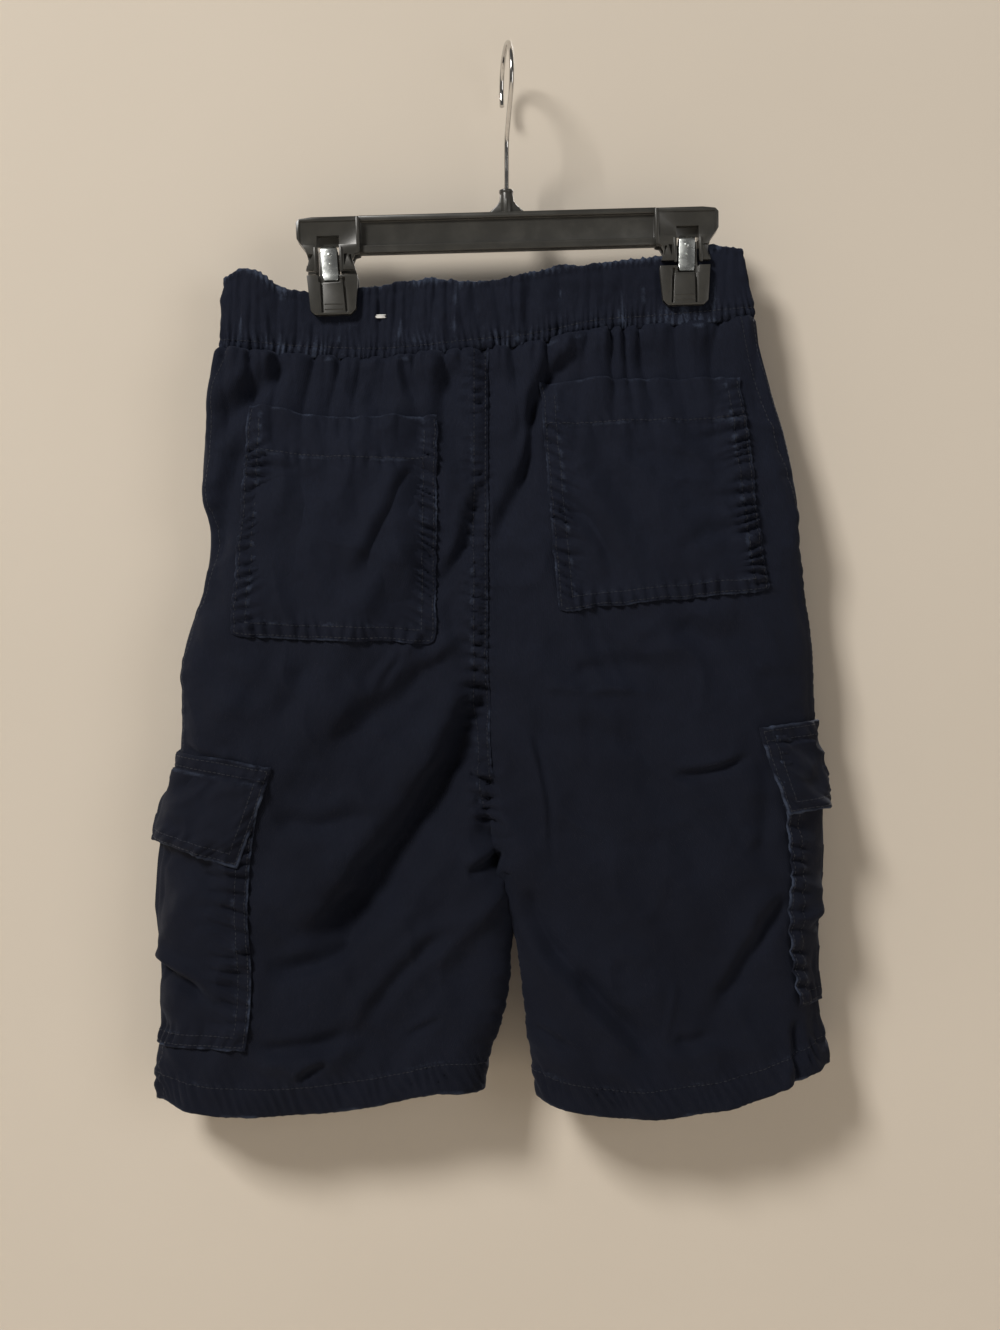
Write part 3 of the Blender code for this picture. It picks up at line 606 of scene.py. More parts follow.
@dataclass(frozen=True)
class Relief:
    """What lifts the panels, and so everything that lies on them, off the smooth form."""

    gain: float = 1.7
    sway: float = 5.0
    buckle: float = 2.2
    net: float = 1.0
    crumple: float = 0.5
    grain: float = 0.13
    fold_pace: float = 19.0
    fold_height: float = 6.0
    gather_pace: float = 8.5
    gather_height: float = 2.3
    puff_height: float = 2.2
    edge_share: float = 0.32
    middle_x: float = -13.0
    edge_turn: float = 9.0

    def along_waist(self, points: Array) -> Array:
        """Distance along the waist from the middle seam, by way of the cloth."""
        x, y = points[..., 0], points[..., 1]
        away = np.abs(x - self.middle_x) + self.edge_turn
        return np.sign(x - self.middle_x) * (away - np.minimum(np.abs(y), self.edge_turn))

    def drawn(self, x: Array, z: Array, cell: float, seed: float) -> Array:
        """Noise drawn out the way that the folds run: down and outwards on each side."""
        left = soft_noise(-x + 0.5 * z, 0.42 * z, cell, seed)
        right = soft_noise(x + 0.5 * z, 0.42 * z, cell, seed + 60)
        return between(left, right, smooth((x + 14) / 40 + 0.5))

    def shared(self, face: Face, points: Array) -> Array:
        """Relief of one face's cloth in millimetres, without its seams.

        Args:
            face: the wall that the points lie on.
            points: points of the smooth form.

        Returns:
            How far each point moves outwards.
        """
        x, y, z = points[..., 0], points[..., 1], points[..., 2]
        seed = NOISE_SEED[face]
        lift = self.gain * sum(crease.relief(x, z) for crease in CREASES[face])
        lift = lift + self.sway * self.drawn(x, z, 42, seed) + self.buckle * self.drawn(x, z, 17, seed + 1)
        lift += self.net * crinkle(x, z + 0.5 * x, 26, seed + 20)
        lift += self.crumple * soft_noise(x, z, 7.0, seed + 2)
        lift += self.grain * soft_noise(x, z, 3.0, seed + 3)
        near_edge = smooth((np.abs(y) - 1.0) / 6)
        lift = lift * between(self.edge_share, 1.0, near_edge)
        below = np.clip(WAIST_SEAM(x) - z, 0, None)
        waist = self.along_waist(points)
        folds = self.fold_height * gathers(waist, z, self.fold_pace, seed + 9) * np.exp(-below / 36)
        fine = self.gather_height * gathers(waist, z, self.gather_pace, seed + 12) * np.exp(-below / 11)
        puff = self.puff_height * bell(below - 7, 9)
        return lift + (folds + fine + puff) * between(1.0, 0.75, FORM.held(x, z))


RELIEF = Relief()


# ---------------------------------------------------------------- grids, shells and stitches


@dataclass
class Grid:
    """One cloth piece as rows of outer points, with what its finish and stitches read."""

    points: Array
    normals: Array
    uv: Array
    wear: Array

    @property
    def rows(self) -> int:
        """The number of rows of points."""
        return self.points.shape[0]

    @property
    def columns(self) -> int:
        """The number of points in a row."""
        return self.points.shape[1]

    def sample(self, row: Array, column: Array) -> tuple[Array, Array]:
        """Points and outward normals at fractional rows and columns."""
        row = np.clip(row, 0, self.rows - 1.001)
        column = np.clip(column, 0, self.columns - 1.001)
        i, j = np.floor(row).astype(int), np.floor(column).astype(int)
        fi, fj = (row - i)[:, None], (column - j)[:, None]
        found = []
        for values in (self.points, self.normals):
            upper = between(values[i, j], values[i, j + 1], fj)
            lower = between(values[i + 1, j], values[i + 1, j + 1], fj)
            found.append(between(upper, lower, fi))
        return found[0], found[1]


def run_lengths(points: Array) -> Array:
    """Each point's distance from its row's first point."""
    paces = np.linalg.norm(np.diff(points, axis=1), axis=2)
    return np.concatenate([np.zeros((len(points), 1)), np.cumsum(paces, axis=1)], axis=1)


def shared_relief(angle: Array, points: Array) -> Array:
    """The panels' relief under a piece that wraps from one face to the other."""
    facing = np.where(np.sin(angle) >= 0, 1.0, 0.0)
    front = (1 - facing) * RELIEF.shared(Face.FRONT, points)
    return facing * RELIEF.shared(Face.BACK, points) + front


def lifted(points: Array, normals: Array, height: Array) -> Array:
    """Points moved outwards by a height."""
    return points + normals * height[..., None]


def grid_normals(points: Array, like: Array) -> Array:
    """Normals of a finished grid, on the same side as the smooth form's."""
    down = np.gradient(points, axis=0)
    over = np.gradient(points, axis=1)
    normal = np.cross(over, down)
    normal /= np.maximum(np.linalg.norm(normal, axis=-1, keepdims=True), 1e-9)
    flip = np.sign(np.sum(normal * like, axis=-1, keepdims=True))
    return normal * np.where(flip == 0, 1, flip)


def seam_loops(rows: int, columns: int, closed: bool) -> list[Array]:
    """The grid's open edges as loops of point numbers."""
    number = np.arange(rows * columns).reshape(rows, columns)
    if closed:
        return [number[0], number[-1]]
    around = [number[0, :-1], number[:-1, -1], number[-1, :0:-1], number[:0:-1, 0]]
    return [np.concatenate(around)]


def shell(name: str, grid: Grid, thickness: Array | float, look: Material,
          closed: bool = False) -> Thing:  # fmt: skip
    """Close a grid into a thin wall with rounded edges.

    Args:
        name: the piece's name.
        grid: its outer points.
        thickness: the wall's thickness in millimetres, one value or one for each point.
        look: the cloth's material.
        closed: whether the rows run all round.

    Returns:
        The new mesh object.
    """
    rows, columns = grid.rows, grid.columns
    count = rows * columns
    thickness = np.broadcast_to(thickness, (rows, columns))
    outer = grid.points.reshape(-1, 3)
    inner = (grid.points - grid.normals * thickness[..., None]).reshape(-1, 3)
    number = np.arange(count).reshape(rows, columns)
    after = np.roll(number, -1, axis=1) if closed else number[:, 1:]
    here = number if closed else number[:, :-1]
    quads = np.stack([here[:-1], here[1:], after[1:], after[:-1]], axis=-1).reshape(-1, 4)
    faces = [quads, quads[:, ::-1] + count]
    points = [outer, inner]
    source = [np.arange(count), np.arange(count)]
    first = 2 * count
    for loop in seam_loops(rows, columns, closed):
        middle = (outer[loop] + inner[loop]) / 2
        inland = neighbour_inland(loop, rows, columns)
        out = outer[loop] - outer[inland]
        out /= np.maximum(np.linalg.norm(out, axis=1, keepdims=True), 1e-9)
        bulge = 0.42 * thickness.reshape(-1)[loop][:, None]
        points.append(middle + out * bulge)
        source.append(loop)
        rim = first + np.arange(len(loop))
        first += len(loop)
        rim_next, loop_next = np.roll(rim, -1), np.roll(loop, -1)
        if closed and loop[0] != 0:
            faces.append(np.stack([loop, rim, rim_next, loop_next], axis=-1))
            faces.append(np.stack([rim, loop + count, loop_next + count, rim_next], axis=-1))
        else:
            faces.append(np.stack([loop_next, rim_next, rim, loop], axis=-1))
            faces.append(np.stack([rim_next, loop_next + count, loop + count, rim], axis=-1))
    return mesh_object(name, np.concatenate(points), np.concatenate(faces), grid,
                       np.concatenate(source), look)  # fmt: skip


def neighbour_inland(loop: Array, rows: int, columns: int) -> Array:
    """For each point of an open edge, the point one step inside the grid."""
    i, j = loop // columns, loop % columns
    i = np.clip(i, 1, rows - 2)
    if len(loop) != columns:
        j = np.clip(j, 1, columns - 2)
    return i * columns + j


def mesh_object(name: str, points: Array, faces: Array, grid: Grid, source: Array,
                look: Material) -> Thing:  # fmt: skip
    """Make a mesh with its UV map and its attribute of wear and painted highlight, and hand it to the
    frame.

    Args:
        name: the piece's name.
        points: its points, in millimetres.
        faces: its quads.
        grid: the grid that holds its UVs and its wear and painted highlight.
        source: for each point, the grid point that it takes them from.
        look: its material.

    Returns:
        The new object.
    """
    a, b, c, d = (points[faces[:, k]] for k in range(4))
    volume = np.sum(a * (np.cross(b, c) + np.cross(c, d)))
    if volume < 0:
        faces = faces[:, ::-1]
    mesh = bpy.data.meshes.new(name)
    mesh.vertices.add(len(points))
    mesh.vertices.foreach_set("co", (points * MM).astype(np.float32).ravel())
    mesh.loops.add(faces.size)
    mesh.loops.foreach_set("vertex_index", faces.astype(np.int32).ravel())
    mesh.polygons.add(len(faces))
    mesh.polygons.foreach_set("loop_start", np.arange(0, faces.size, 4, dtype=np.int32))
    mesh.update(calc_edges=True)
    mesh.validate()
    mesh.shade_smooth()
    uv = mesh.uv_layers.new(name="Cloth")
    uv.data.foreach_set("uv", grid.uv.reshape(-1, 2)[source[faces.ravel()]].astype(np.float32).ravel())
    wear = mesh.attributes.new("wear", "FLOAT", "POINT")
    wear.data.foreach_set("value", grid.wear.ravel()[source].astype(np.float32))
    return cloth_object(mesh, look)


def cloth_object(mesh: Mesh, look: Material) -> Thing:
    """Put a cloth mesh in the scene and hand it to the frame."""
    mesh.materials.append(look)
    made = bpy.data.objects.new(mesh.name, mesh)
    bpy.context.scene.collection.objects.link(made)
    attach(made, ROOT)
    return made


@dataclass
class Stitching:
    """Topstitching gathered along lines and made into one joined mesh."""

    name: str
    pitch: float = 3.0
    length: float = 2.35
    radius: float = 0.27
    places: list[tuple[Array, Array, Array]] = field(default_factory=list)

    def add(self, grid: Grid, row: Array, column: Array) -> None:
        """Run a line of stitches over a grid.

        Args:
            grid: the cloth that the line lies on.
            row: fractional rows along the line.
            column: fractional columns along the line.
        """
        dense = np.linspace(0, len(row) - 1, 6 * len(row))
        index = np.arange(len(row))
        points, normals = grid.sample(np.interp(dense, index, row), np.interp(dense, index, column))
        gone = np.concatenate([[0], np.cumsum(np.linalg.norm(np.diff(points, axis=0), axis=1))])
        middles = np.arange(self.pitch / 2, gone[-1], self.pitch)
        if len(middles) == 0:
            return

        def read(values: Array, at: Array) -> Array:
            """Values at distances along the line."""
            return np.stack([np.interp(at, gone, values[:, k]) for k in range(3)], axis=1)

        centre, normal = read(points, middles), read(normals, middles)
        half = self.length / 2
        run = read(points, middles + half) - read(points, middles - half)
        run /= np.maximum(np.linalg.norm(run, axis=1, keepdims=True), 1e-9)
        normal /= np.linalg.norm(normal, axis=1, keepdims=True)
        self.places.append((centre, run, normal))

    def make(self, look: Material) -> Thing:
        """Join every stitch into one mesh of small threads."""
        centre, run, normal = (np.concatenate(part) for part in zip(*self.places))
        beside = np.cross(run, normal)
        rings = ((-0.36, 0.8, 0.62), (0.0, 1.0, 1.0), (0.36, 0.8, 0.62))
        template = [(-0.5, 0.0, 0.0)]
        for along, size, height in rings:
            for k in range(4):
                angle = math.pi * (k / 2 + 0.25)
                template.append((along, size * math.cos(angle), size * math.sin(angle) + 0.25 * height))
        template.append((0.5, 0.0, 0.0))
        quads, tris = [], []
        for k in range(4):
            after = (k + 1) % 4
            tris.append((0, 1 + after, 1 + k))
            tris.append((13, 9 + k, 9 + after))
            for ring in (1, 5):
                quads.append((ring + k, ring + after, ring + 4 + after, ring + 4 + k))
        points = np.concatenate(
            [
                (centre + run * (a * self.length) + beside * (b * self.radius)
                 + normal * (c * self.radius))[:, None]
                for a, b, c in template
            ],
            axis=1,
        )  # fmt: skip
        count, size = len(centre), len(template)
        mesh = bpy.data.meshes.new(self.name)
        offset = (np.arange(count) * size)[:, None]
        faces = [np.array(shape)[None, :] + offset for shape in tris + quads]
        listed = [tuple(face) for group in faces for face in group.tolist()]
        mesh.from_pydata((points.reshape(-1, 3) * MM).tolist(), [], listed)
        mesh.update()
        mesh.shade_smooth()
        fix_normals(mesh)
        LOG.info("%s: %d stitches", self.name, count)
        return cloth_object(mesh, look)


def fix_normals(mesh: Mesh) -> None:
    """Turn every closed piece of a mesh outwards."""
    work = bmesh.new()
    work.from_mesh(mesh)
    bmesh.ops.recalc_face_normals(work, faces=work.faces)
    work.to_mesh(mesh)
    work.free()


# ---------------------------------------------------------------- finishes


class NodeKit:
    """A small hand for wiring one material's or group's nodes."""

    def __init__(self, tree: Tree) -> None:
        """Start on an empty stretch of a node tree."""
        self.tree = tree

    def add(self, kind: str, **values: object) -> Node:
        """Add a node and set its properties and unlinked inputs.

        Args:
            kind: the node's type name.
            values: properties by name, or inputs by name with spaces as underscores.

        Returns:
            The node.
        """
        node = self.tree.nodes.new(kind)
        for name, value in values.items():
            if hasattr(node, name):
                setattr(node, name, value)
            else:
                node.inputs[name.replace("_", " ")].default_value = value
        return node

    def link(self, start: Socket, end: Socket) -> None:
        """Join two sockets."""
        self.tree.links.new(start, end)

    def math(self, operation: str, a: object, b: object = 0.5, clamp: bool = False) -> Socket:
        """Add a maths node whose operands are sockets or numbers."""
        node = self.add("ShaderNodeMath", operation=operation, use_clamp=clamp)
        for socket, value in zip(node.inputs, (a, b)):
            if isinstance(value, Socket):
                self.link(value, socket)
            else:
                socket.default_value = value
        return node.outputs[0]

    def noise(self, vector: Socket, **values: float) -> Node:
        """Add a noise texture read at a vector."""
        node = self.add("ShaderNodeTexNoise", **values)
        self.link(vector, node.inputs["Vector"])
        return node

    def bump(self, height: Socket, shader: Node, strength: float,
             distance: float) -> None:  # fmt: skip
        """Let a height bump a shader's normal."""
        node = self.add("ShaderNodeBump", Strength=strength, Distance=distance)
        self.link(height, node.inputs["Height"])
        self.link(node.outputs["Normal"], shader.inputs["Normal"])

    def ramp(self, value: Socket, low: float, high: float) -> Socket:
        """A clamped straight ramp from 0 at low to 1 at high."""
        node = self.add("ShaderNodeMapRange", clamp=True)
        self.link(value, node.inputs["Value"])
        node.inputs["From Min"].default_value = low
        node.inputs["From Max"].default_value = high
        return node.outputs["Result"]

    def mix(self, part: object, a: object, b: object) -> Socket:
        """Mix two colours, each a socket or a colour."""
        node = self.add("ShaderNodeMix", data_type="RGBA")
        for socket, value in ((node.inputs[0], part), (node.inputs[6], a), (node.inputs[7], b)):
            if isinstance(value, Socket):
                self.link(value, socket)
            elif socket is node.inputs[0]:
                socket.default_value = value
            else:
                socket.default_value = (*value, 1.0)
        return node.outputs[2]


def new_group(name: str, takes: dict[str, float | None], gives: Sequence[str]) -> Tree:
    """Start a shader node group with named sockets.

    Args:
        name: the group's name.
        takes: each input's default, or None for a vector.
        gives: the names of its outputs, all numbers.

    Returns:
        The group's tree.
    """
    tree = bpy.data.node_groups.new(name, "ShaderNodeTree")
    for title, default in takes.items():
        kind = "NodeSocketVector" if default is None else "NodeSocketFloat"
        socket = tree.interface.new_socket(name=title, in_out="INPUT", socket_type=kind)
        if default is not None:
            socket.default_value = default
    for title in gives:
        tree.interface.new_socket(name=title, in_out="OUTPUT", socket_type="NodeSocketFloat")
    return tree


def weave_group() -> Tree:
    """The twill's fine slanting ribs and uneven yarns, as a height and a tone."""
    tree = new_group(
        "twill_weave",
        {"Vector": None, "Rib": 0.9, "Slub": 1.0},
        ("Height", "Tone"),
    )
    kit = NodeKit(tree)
    source, out = kit.add("NodeGroupInput"), kit.add("NodeGroupOutput")
    turned = kit.add("ShaderNodeMapping", vector_type="POINT")
    turned.inputs["Rotation"].default_value = (0, 0, math.radians(27))
    kit.link(source.outputs["Vector"], turned.inputs["Vector"])
    ribs = kit.add("ShaderNodeTexWave", bands_direction="X", wave_profile="SIN")
    ribs.inputs["Distortion"].default_value = 0.5
    ribs.inputs["Detail"].default_value = 1.0
    kit.link(turned.outputs["Vector"], ribs.inputs["Vector"])
    rib_scale = kit.math("DIVIDE", 314.0, source.outputs["Rib"])
    kit.link(rib_scale, ribs.inputs["Scale"])
    slubs = kit.noise(source.outputs["Vector"], Scale=520.0, Detail=3.0, Roughness=0.62)
    stretched = kit.add("ShaderNodeMapping", vector_type="POINT")
    stretched.inputs["Scale"].default_value = (1400.0, 190.0, 1.0)
    kit.link(source.outputs["Vector"], stretched.inputs["Vector"])
    yarns = kit.noise(stretched.outputs["Vector"], Scale=1.0, Detail=2.0)
    uneven = kit.math("MULTIPLY", slubs.outputs[0], source.outputs["Slub"])
    height = kit.math("ADD", kit.math("MULTIPLY", ribs.outputs["Fac"], 0.55), uneven)
    kit.link(kit.math("ADD", height, kit.math("MULTIPLY", yarns.outputs[0], 0.5)), out.inputs["Height"])
    tone = kit.math("ADD", kit.math("MULTIPLY", yarns.outputs[0], 0.55), kit.math("MULTIPLY", uneven, 0.45))
    kit.link(tone, out.inputs["Tone"])
    return tree


def wear_and_highlight_group() -> Tree:
    """Where the dye has rubbed off, with painted highlights on crests: the wear and highlight attribute
    broken up by a fine speckle.
    """
    tree = new_group(
        "seam_wear",
        {"Vector": None, "Speckle": 900.0, "Amount": 1.0},
        ("Mask", "Fade"),
    )
    kit = NodeKit(tree)
    source, out = kit.add("NodeGroupInput"), kit.add("NodeGroupOutput")
    worn_and_highlight = kit.add("ShaderNodeAttribute", attribute_name="wear")
    fine = kit.noise(source.outputs["Vector"], Detail=3.0, Roughness=0.7)
    kit.link(source.outputs["Speckle"], fine.inputs["Scale"])
    broad = kit.noise(source.outputs["Vector"], Scale=26.0, Detail=3.0)
    speckled = kit.math("ADD", worn_and_highlight.outputs["Fac"], kit.math("SUBTRACT", fine.outputs[0], 0.62))
    mask = kit.ramp(speckled, 0.05, 0.75)
    kit.link(kit.math("MULTIPLY", mask, source.outputs["Amount"], clamp=True), out.inputs["Mask"])
    kit.link(kit.ramp(broad.outputs[0], 0.32, 0.7), out.inputs["Fade"])
    return tree


def speckle_group() -> Tree:
    """Fine scuffs and dust for hard pieces, as a height and a mask."""
    tree = new_group(
        "fine_scuffs",
        {"Vector": None, "Scale": 300.0},
        ("Height", "Mask"),
    )
    kit = NodeKit(tree)
    source, out = kit.add("NodeGroupInput"), kit.add("NodeGroupOutput")
    grain = kit.noise(source.outputs["Vector"], Detail=4.0, Roughness=0.6)
    kit.link(source.outputs["Scale"], grain.inputs["Scale"])
    broad = kit.noise(source.outputs["Vector"], Scale=60.0, Detail=5.0, Roughness=0.7)
    kit.link(grain.outputs[0], out.inputs["Height"])
    kit.link(kit.ramp(broad.outputs[0], 0.42, 0.72), out.inputs["Mask"])
    return tree


@dataclass
class Groups:
    """The shared node groups, built once."""

    weave: Tree = field(default_factory=weave_group)
    wear: Tree = field(default_factory=wear_and_highlight_group)
    scuffs: Tree = field(default_factory=speckle_group)


def start_material(name: str) -> tuple[Material, NodeKit, Node]:
    """A new node material with its Principled shader."""
    made = bpy.data.materials.new(name)
    made.use_nodes = True
    return made, NodeKit(made.node_tree), made.node_tree.nodes["Principled BSDF"]


def use_group(kit: NodeKit, group: Tree, vector: Socket,
              **values: float) -> Node:  # fmt: skip
    """Place a shared group in a material with its own values."""
    node = kit.add("ShaderNodeGroup")
    node.node_tree = group
    kit.link(vector, node.inputs["Vector"])
    for name, value in values.items():
        node.inputs[name].default_value = value
    return node


@dataclass(frozen=True)
class TwillFinish:
    """Washed cotton twill: dark navy, dull, paler where seams and edges have rubbed and where crests carry
    a painted highlight, with painted shade that darkens it down the legs.
    """

    name: str = "navy_twill"
    deep: Triple = (0.0036, 0.0047, 0.0102)
    plain: Triple = (0.0085, 0.0115, 0.0235)
    rubbed: Triple = (0.036, 0.047, 0.076)
    roughness: float = 0.86
    bump: float = 0.4

    def build(self, groups: Groups) -> Material:
        """Make the material from the shared node groups."""
        made, kit, shader = start_material(self.name)
        uv = kit.add("ShaderNodeUVMap", uv_map="Cloth").outputs["UV"]
        weave = use_group(kit, groups.weave, uv, Rib=0.95, Slub=1.0)
        wear = use_group(kit, groups.wear, uv, Speckle=850.0, Amount=0.85)
        place = kit.add("ShaderNodeSeparateXYZ")
        kit.link(kit.add("ShaderNodeTexCoord").outputs["Object"], place.inputs[0])
        # Painted shade by height: the cloth is mixed lighter towards the waist and darker down the legs, as
        # the light falls on it; the patchy part is the cloth's own uneven fade.
        seat = kit.ramp(place.outputs["Z"], -0.47, -0.27)
        patchy = kit.math("MULTIPLY", wear.outputs["Fade"], 0.45)
        painted_height_light_and_fade = kit.math("ADD", patchy, kit.math("MULTIPLY", seat, 0.55))
        painted_light_and_fade_colour = kit.mix(painted_height_light_and_fade, self.deep, self.plain)
        toned = kit.mix(kit.ramp(weave.outputs["Tone"], 0.25, 0.8), self.deep, painted_light_and_fade_colour)
        # Paler twill where the mask is: rubbed edges and hems, and painted highlights on the crests of
        # puckers and gathers.
        kit.link(kit.mix(wear.outputs["Mask"], toned, self.rubbed), shader.inputs["Base Color"])
        kit.bump(weave.outputs["Height"], shader, self.bump, 0.0004)
        shader.inputs["Roughness"].default_value = self.roughness
        shader.inputs["Specular IOR Level"].default_value = 0.13
        shader.inputs["Sheen Weight"].default_value = 0.03
        shader.inputs["Sheen Roughness"].default_value = 0.55
        shader.inputs["Sheen Tint"].default_value = (0.55, 0.65, 1.0, 1.0)
        return made


@dataclass(frozen=True)
class ThreadFinish:
    """Sewing thread, a little brighter than the cloth that it sinks into."""

    name: str
    colour: Triple
    lit: Triple
    roughness: float = 0.6

    def build(self, groups: Groups) -> Material:
        """Make the material from the shared node groups."""
        made, kit, shader = start_material(self.name)
        place = kit.add("ShaderNodeTexCoord").outputs["Object"]
        scuffs = use_group(kit, groups.scuffs, place, Scale=900.0)
        kit.link(kit.mix(scuffs.outputs["Mask"], self.colour, self.lit), shader.inputs["Base Color"])
        shader.inputs["Roughness"].default_value = self.roughness
        kit.bump(scuffs.outputs["Height"], shader, 0.3, 0.0001)
        return made


@dataclass(frozen=True)
class HardFinish:
    """Moulded plastic or plated metal, with fine scuffs."""

    name: str
    colour: Triple
    scuffed: Triple
    roughness: float
    scuff_roughness: float
    metallic: float = 0.0
    grain: float = 420.0
    bump: float = 0.12

    def build(self, groups: Groups) -> Material:
        """Make the material from the shared node groups."""
        made, kit, shader = start_material(self.name)
        place = kit.add("ShaderNodeTexCoord").outputs["Object"]
        scuffs = use_group(kit, groups.scuffs, place, Scale=self.grain)
        kit.link(kit.mix(scuffs.outputs["Mask"], self.colour, self.scuffed), shader.inputs["Base Color"])
        rough = kit.add("ShaderNodeMapRange", clamp=True)
        kit.link(scuffs.outputs["Mask"], rough.inputs["Value"])
        rough.inputs["To Min"].default_value = self.roughness
        rough.inputs["To Max"].default_value = self.scuff_roughness
        kit.link(rough.outputs["Result"], shader.inputs["Roughness"])
        kit.bump(scuffs.outputs["Height"], shader, self.bump, 0.0002)
        shader.inputs["Metallic"].default_value = self.metallic
        return made


@dataclass(frozen=True)
class Looks:
    """Every finish of the object."""

    twill: Material
    thread: Material
    tack: Material
    plastic: Material
    chrome: Material
    steel: Material


def build_looks() -> Looks:
    """Build the shared groups and then each finish from them."""
    groups = Groups()
    return Looks(
        twill=TwillFinish().build(groups),
        thread=ThreadFinish("navy_thread", (0.0065, 0.0085, 0.0165), (0.012, 0.0155, 0.027)).build(groups),
        tack=ThreadFinish("white_thread", (0.62, 0.62, 0.62), (0.8, 0.8, 0.8)).build(groups),
        plastic=HardFinish("black_plastic", (0.029, 0.0285, 0.026), (0.039, 0.038, 0.034), 0.3, 0.37).build(
            groups
        ),
        chrome=HardFinish(
            "chrome_wire", (0.62, 0.61, 0.6), (0.5, 0.49, 0.47), 0.1, 0.22, metallic=1.0
        ).build(groups),
        steel=HardFinish(
            "spring_steel", (0.74, 0.77, 0.76), (0.6, 0.63, 0.62), 0.2, 0.38, metallic=1.0, grain=700.0
        ).build(groups),
    )


# ---------------------------------------------------------------- cloth pieces


def scuffed(wear: Array, x: Array, z: Array, seed: float) -> Array:
    """Break worn and painted-highlight lines up so that they come and go along their length."""
    broken = 0.55 + 0.6 * soft_noise(x, z, 11, seed) + 0.45 * soft_noise(x, z, 4, seed + 1)
    return wear * np.clip(broken, 0.12, 1.1)


def each_side(is_left: Array, read: Callable[[Side, Array, Array], Array], angle: Array,
              z: Array) -> Array:  # fmt: skip
    """What the form reads at each column, taken from the column's own side."""
    return np.where(is_left[:, None], read(Side.LEFT, angle, z), read(Side.RIGHT, angle, z))


